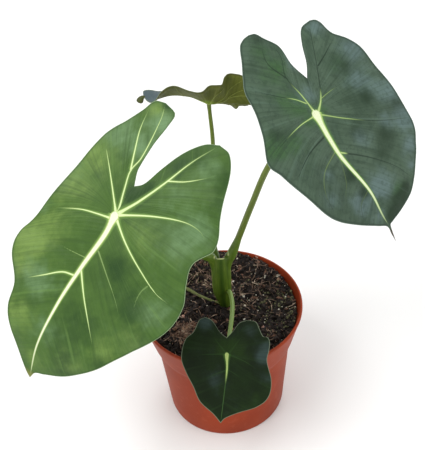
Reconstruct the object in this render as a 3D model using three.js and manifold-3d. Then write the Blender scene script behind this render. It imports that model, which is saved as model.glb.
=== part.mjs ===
// A velvet-leaved alocasia in its nursery pot. Millimetres, +Z up, front towards -Y.
// The origin is the centre of the pot's underside.
import * as THREE from 'three';
import Module from 'manifold-3d';
import { mergeVertices } from 'three/addons/utils/BufferGeometryUtils.js';

const wasm = await Module();
wasm.setup();

// Driving dimensions of the pot
const RIM_RADIUS = 60;
const POT_HEIGHT = 98;
const COLLAR_HEIGHT = 28;
const COLLAR_LOW_RADIUS = 53.3;
const BODY_TOP_RADIUS = 50.8;
const BASE_RADIUS = 45;
const WALL = 1.5;
const FLOOR = 2;
const HOLE_COUNT = 6;
const HOLE_RADIUS = 4;
const HOLE_RING = 33;
const POT_SIDES = 48;

// Driving dimensions of the planting
const GAP = 0.3;
const SOIL_LEVEL = 88.4;
const SOIL_ROUGHNESS = 0.9;
const SOIL_FALL = 0.02;
const SOIL_CALM = 9;
const SOIL_RINGS = 9;
const CROWN_SIDES = 24;
const BLADE_THICKNESS = 0.85;
const RIB_HEIGHT = 1.5;
const RIB_TAPER = 0.75;
const VEIN_HEIGHT = 0.45;

// Crown: rows of height, x of its axis and radius. It stays round up to the flare, then widens to the
// sheaths that wrap the stalks standing on it.
const CROWN = {
  y: 10, sheath: 1.1, flare: 115, flareShape: 2.2,
  rows: [[80.5, 2.8, 3.6], [88.4, 2.6, 4.4], [94.2, 1.9, 5.4], [98.6, 1.5, 6.4], [104, 1.3, 7],
    [115, 1.4, 7.2], [121, 1.4, 7.2], [127, 1.4, 7.2], [133, 1.4, 7.2]],
};

// Each leaf is drawn flat first: u runs from the hub to the tip, v across, below 0 on the L side and
// above 0 on the R side. s runs from -1 at a lobe's end through 0 at the hub to 1 at the tip, along the
// lobe's rib and the midrib. Edge rows: s, u, v and the bow of the vein that ends there.
// heading: azimuth, pitch and roll of the blade at its hub, degrees. bend: droop to the tip and to the
// lobes, radians per mm. tilt: how steeply each half rises from the midrib at u, degrees. rise: lift of
// the midrib at u. crease: radius of the fold along it. curl and dip: how the edges and the tip hang.
// wave: amplitude, length, phase and the distance out at which it is reached.
const LEAVES = {
  left: {
    hub: [-61, -50, 230], heading: [-142, -47, -24], bend: [0.0035, 0.003],
    tiltL: [[-80, 6], [140, 6]], tiltR: [[-80, 6], [140, 6]], rise: [[-80, 0], [140, 0]],
    crease: 5, curl: 0.0012, dip: 0, wave: [2.2, 46, 0.6, 50],
    midrib: [[0, 0], [20, -1], [45, -5], [89, -11], [122, -12], [135, -10]],
    ribL: [[0, 0], [-16, -4], [-27, -5], [-38, -3], [-52, -3], [-64, -5], [-74, -8]],
    ribR: [[0, 0], [-19, 12], [-33, 18], [-48, 26], [-61, 32], [-68, 35]],
    edgeL: [[-1, -74, -8, 0], [-0.85, -72, -14, 0], [-0.5, -63, -18, 0], [-0.3, -53, -23, 0],
      [-0.12, -40, -30, 1], [-0.07, -26, -34, 0], [-0.03, -12, -37, -2], [0.03, 24, -45, -4.5],
      [0.16, 41, -51, -4], [0.3, 54, -50, -3], [0.46, 74, -42, -2], [0.6, 90, -40, 0],
      [0.76, 105, -33, 0], [0.9, 122, -21, 0], [0.96, 131, -14, 0], [1, 135, -10, 0]],
    innerL: [[0, -21, 2], [-0.25, -30, -1], [-0.5, -44, -1], [-0.7, -57, 0], [-0.85, -67, 2],
      [-0.94, -72, 0], [-1, -74, -8]],
    edgeR: [[-1, -68, 35, 0], [-0.85, -66, 43, 0], [-0.6, -53, 51, 0], [-0.3, -30, 59, -3],
      [-0.12, -12, 64, -5.5], [-0.06, 0, 58, -2], [0, 13, 60.5, 3], [0.06, 27, 64, 7],
      [0.16, 47, 62, 3], [0.26, 72, 47, 0], [0.36, 83, 40, -1], [0.46, 94, 33, -2], [0.6, 106, 23, 0],
      [0.76, 117, 12, 0], [0.9, 125.5, -1, 0], [0.96, 129, -7.5, 0], [1, 135, -10, 0]],
    innerR: [[0, -21, 2], [-0.25, -26, 7], [-0.5, -39, 12], [-0.75, -54, 19], [-0.9, -64, 27],
      [-1, -68, 35]],
    veins: [-0.5, -0.12, 0.03, 0.46, -0.6, 0.06, 0.26],
  },
  right: {
    hub: [64, -25, 277], heading: [-53, -38, 10], bend: [0.006, 0.002],
    tiltL: [[-65, 9], [100, 9]], tiltR: [[-65, 9], [100, 9]], rise: [[-65, 0], [100, 0]],
    crease: 5, curl: 0.0022, dip: 4, wave: [1.4, 40, 0, 50],
    midrib: [[0, 0], [26, -2], [54, 5], [76, 8], [84, 11], [98, 11]],
    ribL: [[0, 0], [-12, -3], [-30, -3], [-49, -5], [-62, -8]],
    ribR: [[0, 0], [-7, 7], [-21, 15], [-39, 24], [-52, 30]],
    edgeL: [[-1, -62, -8, 0], [-0.8, -58, -17, 0], [-0.6, -48, -23, 0], [-0.4, -39, -28.5, 0],
      [-0.23, -30, -33, 0], [-0.1, -16, -35, 0], [-0.03, -3, -39, 0], [0.04, 12, -44, -3],
      [0.15, 22, -41, -4], [0.27, 38, -33, -5], [0.39, 53, -28.5, -7], [0.55, 63, -21, -5],
      [0.68, 72, -9, -2], [0.79, 80, 2, 0], [0.87, 85, 9.4, 0], [1, 98, 11, 0]],
    innerL: [[0, -21, 7], [-0.3, -33, 4], [-0.6, -47, 4], [-0.8, -56, -1], [-0.93, -61, -4],
      [-1, -62, -8]],
    edgeR: [[-1, -52, 30, 0], [-0.8, -47, 35, 0], [-0.55, -38, 38, 0], [-0.4, -30, 44, 0],
      [-0.27, -20, 48.5, 0], [-0.12, -5, 50, 0], [-0.04, 14, 51, 2], [0.04, 33, 51, 3],
      [0.15, 46, 46.5, 0], [0.27, 55, 41, -3], [0.39, 63, 36, -4.5], [0.55, 71, 30, -2],
      [0.68, 77, 21, 0], [0.79, 82, 13.5, 0], [0.87, 85.5, 11.6, 0], [1, 98, 11, 0]],
    innerR: [[0, -21, 7], [-0.3, -29, 12], [-0.6, -41, 17], [-0.85, -50, 23], [-1, -52, 30]],
    veins: [-0.6, -0.23, 0.04, 0.39, 0.55, -0.55, -0.27],
  },
  back: {
    hub: [0.7, 40, 248], heading: [180, 0, 0], bend: [0, 0],
    tiltL: [[-30, -36], [0, -34], [30, -36], [37, -18], [48, 0]],
    tiltR: [[-30, 76], [-20, 86], [-13, 82], [-9, 62], [0, 60], [4, 50], [8, 44], [13, 43], [23, 51],
      [31, 46], [36, 24], [48, 0]],
    rise: [[-29, -4.6], [-13, -1.5], [0, 0], [4, 2.1], [12, 6.3], [24, 8.2], [35, 6.2], [48, 5]],
    crease: 1.5, curl: 0, dip: 1, wave: [0, 27, 0, 20],
    midrib: [[0, 0], [20, 0], [40, 0], [47, -1]],
    ribL: [[0, 0], [-12, -6], [-27, -12]],
    ribR: [[0, 0], [-14, 9], [-30, 18]],
    edgeL: [[-1, -27, -12, 0], [-0.8, -25.5, -16, 0], [-0.4, -14, -20, 0], [0, 1, -21, 0],
      [0.25, 11, -20, 0], [0.65, 29, -14, 0], [0.87, 40, -6, 0], [1, 47, -1, 0]],
    innerL: [[0, -11, 0], [-0.4, -19, -4], [-0.8, -25, -8], [-1, -27, -12]],
    edgeR: [[-1, -30, 18, 0], [-0.8, -25, 25, 0], [-0.5, -15, 26, 0], [-0.3, -10, 25, 0],
      [-0.1, -1, 24, 0], [0.05, 4, 21, 0], [0.25, 11, 20, 0], [0.45, 21, 20, 0], [0.65, 31, 16, 0],
      [0.87, 40, 7, 0], [1, 47, -1, 0]],
    innerR: [[0, -11, 0], [-0.4, -19, 5], [-0.8, -27, 12], [-1, -30, 18]],
    veins: [-0.4, 0.05, 0.45],
  },
  front: {
    hub: [1, -68, 118], heading: [-104, -50, -10], bend: [0.004, 0.006],
    tiltL: [[-30, 7], [50, 7]], tiltR: [[-30, 7], [50, 7]], rise: [[-30, 0], [50, 0]],
    crease: 5, curl: 0.003, dip: 0, wave: [1, 26, 0, 30],
    midrib: [[0, 0], [34, 0], [48, 0]],
    ribL: [[0, 0], [-12, -8], [-24, -15]],
    ribR: [[0, 0], [-12, 6], [-24, 13]],
    edgeL: [[-1, -24, -15, 0], [-0.8, -21, -21, 0], [-0.55, -13, -23.5, 0], [-0.3, -7, -28.5, 0],
      [0.05, 6, -30, -1], [0.2, 15, -26, 0], [0.4, 24, -20.5, 0], [0.65, 34, -15, 0],
      [0.85, 42, -5.5, 0], [1, 48, 0, 0]],
    innerL: [[0, -11, -1], [-0.4, -16, -6], [-0.8, -22, -12], [-1, -24, -15]],
    edgeR: [[-1, -24, 13, 0], [-0.8, -22, 18, 0], [-0.55, -14, 25, 0], [-0.3, -6, 29, 0],
      [-0.1, 3, 27, 0], [0.05, 14, 31, 2], [0.3, 26, 30.5, 0], [0.6, 34, 23, 0], [0.8, 40, 10, 0],
      [0.92, 44.5, 2.5, 0], [1, 48, 0, 0]],
    innerR: [[0, -11, -1], [-0.4, -16, 3], [-0.8, -22, 8], [-1, -24, 13]],
    veins: [-0.3, 0.05, 0.4],
  },
};

// Leaf stalks: points from the crown to just under each leaf's hub, and the radius at each end
const STALKS = {
  left: { route: [[-3.3, 8.4, 133.4], [-5, 7, 138], [-11, 1.5, 147], [-23, -9, 165], [-38, -24, 189],
    [-51, -38, 211]], radii: [3.4, 2.1] },
  right: { route: [[6.2, 8.3, 133.4], [7.8, 7.8, 138], [11, 6, 147], [16.5, 3.5, 163], [24.5, -2, 191],
    [36, -10, 229], [50, -18, 256]], radii: [3.7, 1.9] },
  back: { route: [[-0.8, 14.9, 133.4], [-1.4, 15.6, 138], [-1.6, 18, 148], [-0.4, 25, 180],
    [1.6, 34, 219]], radii: [2.7, 1.3] },
  front: { route: [[6.3, 4.5, 104.6], [6.9, 2.6, 106], [7.5, -3.2, 107.4], [7.8, -10.8, 108.6],
    [7.4, -19.1, 109.8], [6.2, -30, 111], [3.9, -45.4, 112.2]], radii: [1.8, 1.5] },
};
const STALK_TAPER = 0.6;

// A dried stalk lying on the soil, seen from above
const OLD_STALK = { route: [[-6.6, 11.4], [-11, 14], [-17, 19], [-22.5, 24], [-27, 27.5]], radius: 1.5,
  taper: 0.35 };

const COLOURS = {
  pot: '#b5583c', soil: '#2b211b', crown: '#4c6418', petiole: '#6b7a2b', paleStalk: '#8fa060',
  leftBlade: '#5c8248', rightBlade: '#3f5b4a', backBlade: '#4c5a2c', frontBlade: '#1f3a26',
  oldStalk: '#9a9a68',
};

const UP = new THREE.Vector3(0, 0, 1);
const CROWN_TOP = CROWN.rows[CROWN.rows.length - 1][0];
const radians = THREE.MathUtils.degToRad;

// Value at s of rows [s, a, b, ...] on a smooth curve through them
function smooth(rows, s) {
  const list = rows[0][0] < rows[rows.length - 1][0] ? rows : [...rows].reverse();
  let i = 0;
  while (i < list.length - 2 && s > list[i + 1][0]) i += 1;
  const a = list[i];
  const b = list[i + 1];
  const before = list[Math.max(i - 1, 0)];
  const after = list[Math.min(i + 2, list.length - 1)];
  const span = b[0] - a[0];
  const t = Math.min(Math.max((s - a[0]) / span, 0), 1);
  return a.slice(1).map((from, k) => {
    const to = b[k + 1];
    const slopeA = (to - before[k + 1]) / (b[0] - before[0]) * span;
    const slopeB = (after[k + 1] - from) / (after[0] - a[0]) * span;
    return from * (2 * t ** 3 - 3 * t ** 2 + 1) + slopeA * (t ** 3 - 2 * t ** 2 + t)
      + to * (3 * t ** 2 - 2 * t ** 3) + slopeB * (t ** 3 - t ** 2);
  });
}

// Point of a flat rib at a share of its length
function along(points, share) {
  const reach = [0];
  points.slice(1).forEach((p, i) => {
    reach.push(reach[i] + Math.hypot(p[0] - points[i][0], p[1] - points[i][1]));
  });
  const length = reach[reach.length - 1];
  return smooth(points.map((p, i) => [reach[i] / length, ...p]), share);
}

// Rows crowd towards the hub, where the veins of the leaf fan out
const EASE = 1.4;

// Flat place (u, v) of the blade at s and at b, from the rib at 0 to the edge at 1
function flatPoint(leaf, side, inner, s, b) {
  const rib = along(s >= 0 ? leaf.midrib : leaf[`rib${side}`], Math.abs(s) ** EASE);
  const [u, v, bow = 0] = smooth(leaf[`${inner ? 'inner' : 'edge'}${side}`], s);
  return [rib[0] + (u - rib[0]) * b + bow * 4 * b * (1 - b), rib[1] + (v - rib[1]) * b];
}

// Directions of the blade at its hub: to the tip, across and out of the upper face
function hubFrame(leaf) {
  const [azimuth, pitch, roll] = leaf.heading.map(radians);
  const tip = new THREE.Vector3(
    Math.cos(pitch) * Math.cos(azimuth), Math.cos(pitch) * Math.sin(azimuth), Math.sin(pitch));
  const level = new THREE.Vector3(-Math.sin(azimuth), Math.cos(azimuth), 0);
  const up = tip.clone().cross(level);
  const across = level.multiplyScalar(Math.cos(roll)).addScaledVector(up, Math.sin(roll));
  return { tip, across, out: tip.clone().cross(across) };
}

// Place in space of the flat point (u, v), and the same place sunk by a depth under the upper face
function spacePoint(leaf, u, v, depth) {
  const { tip, across, out } = hubFrame(leaf);
  const k = u > 0 ? leaf.bend[0] : leaf.bend[1];
  const turn = k * u;
  const forward = k ? Math.sin(turn) / k : u;
  const drop = k ? (1 - Math.cos(turn)) / k : 0;
  const tipShare = Math.max(u, 0) / leaf.midrib[leaf.midrib.length - 1][0];
  const lift = smooth(leaf.rise, u)[0] - leaf.dip * tipShare ** 4 - drop;
  const outHere = out.clone().multiplyScalar(Math.cos(turn)).addScaledVector(tip, Math.sin(turn));
  const side = v > 0 ? 1 : -1;
  const away = Math.abs(v);
  const tilt = radians(smooth(v > 0 ? leaf.tiltR : leaf.tiltL, u)[0]);
  const root = Math.hypot(away, leaf.crease);
  const past = root - leaf.crease;
  const slope = away / root;
  const normal = outHere.clone().multiplyScalar(1 - (1 - Math.cos(tilt)) * slope)
    .addScaledVector(across, -side * Math.sin(tilt) * slope).normalize();
  const [amplitude, length, phase, reach] = leaf.wave;
  const swell = Math.min(away / reach, 1) ** 2;
  const ripple = amplitude * swell * Math.sin(2 * Math.PI * u / length + phase);
  return new THREE.Vector3(...leaf.hub)
    .addScaledVector(tip, forward)
    .addScaledVector(out, lift)
    .addScaledVector(across, side * (away - (1 - Math.cos(tilt)) * past))
    .addScaledVector(outHere, Math.sin(tilt) * past)
    .addScaledVector(normal, ripple - leaf.curl * away ** 2 - depth);
}

// Closed body gathered from faces, with shared corners
class Solid {
  constructor() {
    this.corners = [];
    this.faces = [];
    this.lookup = new Map();
  }

  corner(p) {
    const key = p.toArray().map((n) => n.toFixed(3)).join(' ');
    if (!this.lookup.has(key)) {
      this.lookup.set(key, this.corners.length / 3);
      this.corners.push(...p.toArray());
    }
    return this.lookup.get(key);
  }

  face(a, b, c) {
    if (a !== b && b !== c && c !== a) this.faces.push(a, b, c);
  }

  quad(a, b, c, d, flip) {
    if (flip) {
      this.face(a, c, b);
      this.face(a, d, c);
    } else {
      this.face(a, b, c);
      this.face(a, c, d);
    }
  }

  // Wall through rings of corners, closed by a point at each end
  tube(rings, caps) {
    const sides = rings[0].length;
    const last = rings[rings.length - 1];
    for (let k = 0; k < sides; k += 1) {
      const next = (k + 1) % sides;
      for (let i = 0; i + 1 < rings.length; i += 1) {
        this.quad(rings[i][k], rings[i][next], rings[i + 1][next], rings[i + 1][k], false);
      }
      this.face(caps[0], rings[0][next], rings[0][k]);
      this.face(caps[1], last[k], last[next]);
    }
  }

  geometry() {
    const made = new THREE.BufferGeometry();
    made.setAttribute('position', new THREE.Float32BufferAttribute(this.corners, 3));
    made.setIndex(this.faces);
    return made;
  }
}

// Sorted rows for a stretch of s: every station and a row between those that lie far apart
const FAR_APART = 0.08;

function rowsBetween(low, high, ...lists) {
  const stations = lists.flat().map((row) => row[0]).filter((s) => s >= low && s <= high);
  const sorted = [...new Set([low, high, ...stations])].sort((a, b) => a - b);
  return sorted.flatMap((s, i) => {
    const before = sorted[Math.max(i - 1, 0)];
    return s - before > FAR_APART ? [(s + before) / 2, s] : [s];
  });
}

const EDGE_COLUMNS = [0, 0.05, 0.2, 0.4, 0.6, 0.8, 1];
const INNER_COLUMNS = [0, 0.14, 0.55, 1];

// Depth of the underside: the blade, its ribs and the veins along the rows that carry one
function undersideDepth(leaf, s, b, inner) {
  const rib = b === 0 ? RIB_HEIGHT * (1 - RIB_TAPER * Math.abs(s)) : 0;
  const vein = leaf.veins.includes(s) && b > 0 && !inner ? VEIN_HEIGHT * (1 - b) : 0;
  return BLADE_THICKNESS + rib + vein;
}

// Leaf blade: an outer strip on each side of the midrib and an inner strip up to the notch
function bladeGeometry(leaf) {
  const solid = new Solid();
  const strip = (side, inner, rows, columns, flip) => {
    const grid = rows.map((s) => columns.map((b) => {
      const [u, v] = flatPoint(leaf, side, inner, s, b);
      const under = undersideDepth(leaf, s, b, inner);
      return [solid.corner(spacePoint(leaf, u, v, 0)), solid.corner(spacePoint(leaf, u, v, under))];
    }));
    for (let i = 0; i + 1 < rows.length; i += 1) {
      for (let j = 0; j + 1 < columns.length; j += 1) {
        const cell = [grid[i][j], grid[i + 1][j], grid[i + 1][j + 1], grid[i][j + 1]];
        solid.quad(...cell.map((p) => p[0]), flip);
        solid.quad(...cell.map((p) => p[1]), !flip);
      }
      const a = grid[i][columns.length - 1];
      const b = grid[i + 1][columns.length - 1];
      solid.quad(a[0], b[0], b[1], a[1], flip);
    }
  };
  for (const [side, flip] of [['L', true], ['R', false]]) {
    const lobeRows = rowsBetween(-1, 0, leaf[`edge${side}`], leaf[`inner${side}`]);
    const tipRows = rowsBetween(0, 1, leaf.edgeL, leaf.edgeR);
    strip(side, false, [...lobeRows, ...tipRows.slice(1)], EDGE_COLUMNS, flip);
    strip(side, true, lobeRows, INNER_COLUMNS, !flip);
  }
  return solid.geometry();
}

// Round stalk along points, tapering, with its end rings laid flat where a normal is given for them
function stalkGeometry(points, radiusAt, sides, startNormal, endNormal) {
  const curve = new THREE.CatmullRomCurve3(points, false, 'centripetal');
  const steps = points.length * 3;
  const frames = curve.computeFrenetFrames(steps, false);
  const solid = new Solid();
  const rings = [];
  for (let i = 0; i <= steps; i += 1) {
    const centre = curve.getPointAt(i / steps);
    const flatNormal = (i === 0 && startNormal) || (i === steps && endNormal);
    const ring = [];
    for (let k = 0; k < sides; k += 1) {
      const angle = 2 * Math.PI * k / sides;
      const offset = frames.normals[i].clone().multiplyScalar(Math.cos(angle))
        .addScaledVector(frames.binormals[i], Math.sin(angle)).multiplyScalar(radiusAt(i / steps));
      if (flatNormal) {
        const tangent = frames.tangents[i];
        offset.addScaledVector(tangent, -offset.dot(flatNormal) / tangent.dot(flatNormal));
      }
      ring.push(solid.corner(centre.clone().add(offset)));
    }
    rings.push(ring);
  }
  solid.tube(rings, [solid.corner(curve.getPointAt(0)), solid.corner(curve.getPointAt(1))]);
  return solid.geometry();
}

// Stalk from the crown to just under the hub of its leaf
function leafStalk(name) {
  const leaf = LEAVES[name];
  const { route, radii } = STALKS[name];
  const { out } = hubFrame(leaf);
  const start = new THREE.Vector3(...route[0]);
  const fromCrown = new THREE.Vector3(start.x - CROWN.rows[0][1], start.y - CROWN.y, 0).normalize();
  const end = spacePoint(leaf, 0, 0, BLADE_THICKNESS + RIB_HEIGHT + GAP);
  const points = [...route.map((p) => new THREE.Vector3(...p)), end];
  const radiusAt = (t) => radii[0] + (radii[1] - radii[0]) * t ** STALK_TAPER;
  return stalkGeometry(points, radiusAt, 10, start.z > CROWN_TOP ? UP : fromCrown, out);
}

// Height of the soil: level by the crown, uneven elsewhere
function soilHeight(x, y) {
  const away = Math.hypot(x - CROWN.rows[0][1], y - CROWN.y);
  const rough = Math.min(Math.max(away / SOIL_CALM - 1, 0), 1);
  const crumbs = Math.sin(0.47 * x + 1.3 * Math.sin(0.21 * y)) * Math.sin(0.53 * y + 0.9)
    + 0.6 * Math.sin(0.9 * x - 0.6 * y) + 0.5 * Math.sin(0.33 * y - 0.28 * x + 2);
  return SOIL_LEVEL + rough * (SOIL_ROUGHNESS * crumbs - SOIL_FALL * away);
}

// Reach of the sheathed stalks from the crown's axis in one direction
function bundleReach(axisX, angle) {
  let reach = 0;
  for (const { route, radii } of Object.values(STALKS)) {
    const away = Math.hypot(route[0][0] - axisX, route[0][1] - CROWN.y);
    const turn = angle - Math.atan2(route[0][1] - CROWN.y, route[0][0] - axisX);
    const radius = radii[0] + CROWN.sheath;
    const miss = away * Math.sin(turn);
    if (route[0][2] > CROWN_TOP && Math.abs(miss) < radius) {
      reach = Math.max(reach, away * Math.cos(turn) + Math.sqrt(radius ** 2 - miss ** 2));
    }
  }
  return reach;
}

// Place on the crown's wall at a height and angle, or a gap outside it
function crownSpot(z, angle, gap = 0) {
  const [axisX, radius] = smooth(CROWN.rows, z);
  const share = Math.max((z - CROWN.flare) / (CROWN_TOP - CROWN.flare), 0) ** CROWN.flareShape;
  const reach = radius + (bundleReach(axisX, angle) - radius) * share + gap;
  return new THREE.Vector3(axisX + reach * Math.cos(angle), CROWN.y + reach * Math.sin(angle), z);
}

// Outline of the pot's wall from the axis under the floor, out, up and back inside
const INNER_STEP = [COLLAR_LOW_RADIUS - WALL, POT_HEIGHT - COLLAR_HEIGHT + 2];
const INNER_BODY_TOP = [BODY_TOP_RADIUS - WALL, POT_HEIGHT - COLLAR_HEIGHT + 0.5];
const INNER_RIM = [RIM_RADIUS - WALL - 0.4, POT_HEIGHT - 1];
const INNER_BASE = [BASE_RADIUS - WALL, FLOOR];

function potGeometry() {
  const bodyTop = POT_HEIGHT - COLLAR_HEIGHT;
  const outline = [[0, 0], [BASE_RADIUS - 1.6, 0], [BASE_RADIUS - 0.4, 0.5], [BASE_RADIUS, 1.8],
    [BODY_TOP_RADIUS, bodyTop - 1], [COLLAR_LOW_RADIUS - 0.5, bodyTop], [COLLAR_LOW_RADIUS, bodyTop + 0.8],
    [RIM_RADIUS - 0.3, POT_HEIGHT - 1.4], [RIM_RADIUS, POT_HEIGHT - 0.8], [RIM_RADIUS - 0.4, POT_HEIGHT],
    [RIM_RADIUS - WALL, POT_HEIGHT], INNER_RIM, INNER_STEP, INNER_BODY_TOP, INNER_BASE, [0, FLOOR]];
  const lathe = new THREE.LatheGeometry(outline.map((p) => new THREE.Vector2(...p)), POT_SIDES);
  lathe.rotateX(Math.PI / 2);
  let pot = toManifold(lathe);
  for (let i = 0; i < HOLE_COUNT; i += 1) {
    const angle = (i + 0.5) * 2 * Math.PI / HOLE_COUNT;
    const drill = new THREE.CylinderGeometry(HOLE_RADIUS, HOLE_RADIUS, 3 * FLOOR, 12);
    drill.rotateX(Math.PI / 2);
    drill.translate(HOLE_RING * Math.cos(angle), HOLE_RING * Math.sin(angle), FLOOR / 2);
    pot = pot.subtract(toManifold(drill));
  }
  return fromManifold(pot);
}

function toManifold(geometry) {
  const bare = geometry.clone();
  bare.deleteAttribute('normal');
  bare.deleteAttribute('uv');
  const merged = mergeVertices(bare, 1e-4);
  const index = Array.from(merged.index.array);
  const kept = [];
  for (let i = 0; i < index.length; i += 3) {
    const [a, b, c] = index.slice(i, i + 3);
    if (a !== b && b !== c && c !== a) kept.push(a, b, c);
  }
  return new wasm.Manifold(new wasm.Mesh({
    numProp: 3,
    vertProperties: new Float32Array(merged.attributes.position.array),
    triVerts: new Uint32Array(kept),
  }));
}

function fromManifold(manifold) {
  const { vertProperties, triVerts } = manifold.getMesh();
  const made = new THREE.BufferGeometry();
  made.setAttribute('position', new THREE.Float32BufferAttribute(vertProperties, 3));
  made.setIndex(Array.from(triVerts));
  return made;
}

// Soil filling the pot, with the hole that the crown stands in
function soilGeometry() {
  const solid = new Solid();
  const slope = (INNER_RIM[0] - INNER_STEP[0]) / (INNER_RIM[1] - INNER_STEP[1]);
  const lowest = SOIL_LEVEL - SOIL_ROUGHNESS - SOIL_FALL * RIM_RADIUS;
  const wallRadius = INNER_STEP[0] + (lowest - INNER_STEP[1]) * slope - GAP;
  const ring = (spotAt) => Array.from(
    { length: POT_SIDES }, (_, k) => solid.corner(spotAt(2 * Math.PI * k / POT_SIDES)));
  const disc = (radius, z) => ring(
    (angle) => new THREE.Vector3(radius * Math.cos(angle), radius * Math.sin(angle), z));
  const pitFloor = CROWN.rows[0][0] - GAP;
  const hole = (angle) => crownSpot(SOIL_LEVEL, angle, GAP);
  const rings = [
    disc(INNER_BASE[0] - GAP, FLOOR + GAP),
    disc(INNER_BODY_TOP[0] - GAP, INNER_BODY_TOP[1] + GAP),
    disc(INNER_STEP[0] - GAP, INNER_STEP[1] + GAP),
  ];
  for (let i = SOIL_RINGS; i >= 0; i -= 1) {
    rings.push(ring((angle) => {
      const wall = new THREE.Vector3(wallRadius * Math.cos(angle), wallRadius * Math.sin(angle), 0);
      const spot = hole(angle).lerp(wall, i / SOIL_RINGS);
      return spot.setZ(soilHeight(spot.x, spot.y));
    }));
  }
  rings.push(ring((angle) => hole(angle).setZ(pitFloor)));
  const caps = [[0, 0, FLOOR + GAP], [CROWN.rows[0][1], CROWN.y, pitFloor]];
  solid.tube(rings, caps.map((p) => solid.corner(new THREE.Vector3(...p))));
  return solid.geometry();
}

// Crown: the bundle of leaf sheaths that rises from the soil and carries the stalks
function crownGeometry() {
  const solid = new Solid();
  const rings = CROWN.rows.map(([z]) => Array.from(
    { length: CROWN_SIDES }, (_, k) => solid.corner(crownSpot(z, 2 * Math.PI * k / CROWN_SIDES))));
  const ends = [CROWN.rows[0], CROWN.rows[CROWN.rows.length - 1]];
  solid.tube(rings, ends.map(([z, x]) => solid.corner(new THREE.Vector3(x, CROWN.y, z))));
  return solid.geometry();
}

function oldStalkGeometry() {
  const { route, radius, taper } = OLD_STALK;
  const points = route.map(([x, y]) => new THREE.Vector3(x, y, soilHeight(x, y) + radius + 2 * GAP));
  return stalkGeometry(points, (t) => radius * (1 - taper * t), 8);
}

function addPiece(group, name, geometry, colour, roughness) {
  const material = new THREE.MeshStandardMaterial({ color: colour, roughness, metalness: 0 });
  const mesh = new THREE.Mesh(geometry, material);
  mesh.name = name;
  group.add(mesh);
}

const plant = new THREE.Group();
addPiece(plant, 'pot', potGeometry(), COLOURS.pot, 0.5);
addPiece(plant, 'soil', soilGeometry(), COLOURS.soil, 0.95);
addPiece(plant, 'crown', crownGeometry(), COLOURS.crown, 0.5);
addPiece(plant, 'old_stalk', oldStalkGeometry(), COLOURS.oldStalk, 0.8);
for (const name of Object.keys(LEAVES)) {
  const stalkColour = name === 'front' ? COLOURS.paleStalk : COLOURS.petiole;
  addPiece(plant, `petiole_${name}`, leafStalk(name), stalkColour, 0.5);
  addPiece(plant, `blade_${name}`, bladeGeometry(LEAVES[name]), COLOURS[`${name}Blade`], 0.55);
}

export default plant;
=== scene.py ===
"""A velvet-leaved alocasia in a terracotta-coloured nursery pot, dressed for rendering."""

import math
import random
from contextlib import contextmanager

import bpy
import numpy as np
from mathutils import Matrix, Vector, noise


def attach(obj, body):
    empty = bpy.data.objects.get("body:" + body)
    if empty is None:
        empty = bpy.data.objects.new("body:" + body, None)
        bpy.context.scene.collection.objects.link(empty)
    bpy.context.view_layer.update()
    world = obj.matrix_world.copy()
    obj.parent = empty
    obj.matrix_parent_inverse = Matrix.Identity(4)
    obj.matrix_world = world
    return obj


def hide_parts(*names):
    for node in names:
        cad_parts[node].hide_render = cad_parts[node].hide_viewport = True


bl_info = {
    "name": "Potted Alocasia",
    "version": (1, 0, 0),
    "blender": (4, 5, 0),
    "location": "View3D > Sidebar > Alocasia",
    "description": "Models a potted alocasia with velvety pale-veined leaves",
    "category": "Object",
}

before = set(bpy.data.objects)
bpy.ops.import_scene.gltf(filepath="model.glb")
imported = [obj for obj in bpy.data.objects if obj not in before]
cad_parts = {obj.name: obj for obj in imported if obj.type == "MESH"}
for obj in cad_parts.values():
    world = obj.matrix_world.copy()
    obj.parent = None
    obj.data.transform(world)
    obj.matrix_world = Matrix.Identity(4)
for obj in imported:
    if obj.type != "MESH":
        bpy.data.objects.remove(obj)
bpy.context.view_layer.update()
MM = 0.001

# The pot and the soil, in millimetres
POT_HEIGHT = 98
HOLE_RADIUS = 4
HOLE_RING = 33
SOIL_LEVEL = 88.4
# Grains are strewn this far out, and the soil's edge then holds them in
STREWN = 57.5

# The crown: its middle where it meets the soil, its hole there with the hole's floor, and the ground
# kept clear round it
CROWN_X = 2.6
CROWN_Y = 10
CROWN_HOLE = 4.1
CROWN_HOLE_FLOOR = 81.5
CROWN_CLEAR = 5.2
# The x that its skin's pattern turns round, its depth as a share of its width and the heights that
# its mesh spans
CROWN_AXIS_X = 1.6
CROWN_DEPTH = 0.93
CROWN_FOOT = 81
CROWN_TOP = 140.5
# From this height up, its top comes to slant down to the back, behind the sheath's edge: fall for
# each millimetre
CROWN_SLANT_FROM = 118
CROWN_SLANT = 1.25
# Rows of height, x of its axis and radius
CROWN_ROWS = [[80.5, 2.8, 3.6], [88.4, 2.6, 4.4], [94.2, 1.9, 5.4], [98.6, 1.5, 6.4], [104, 1.3, 7],
              [115, 1.4, 7.2], [133, 1.4, 7.2]]
# The front stalk's sheath down its side: middle and half sizes
FRONT_SHEATH = ((4.6, 5.9, 97), (2.6, 2.2, 10))


def even(value):
    """Rows with one value all along a blade."""
    return [[-80, value], [140, value]]


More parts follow.
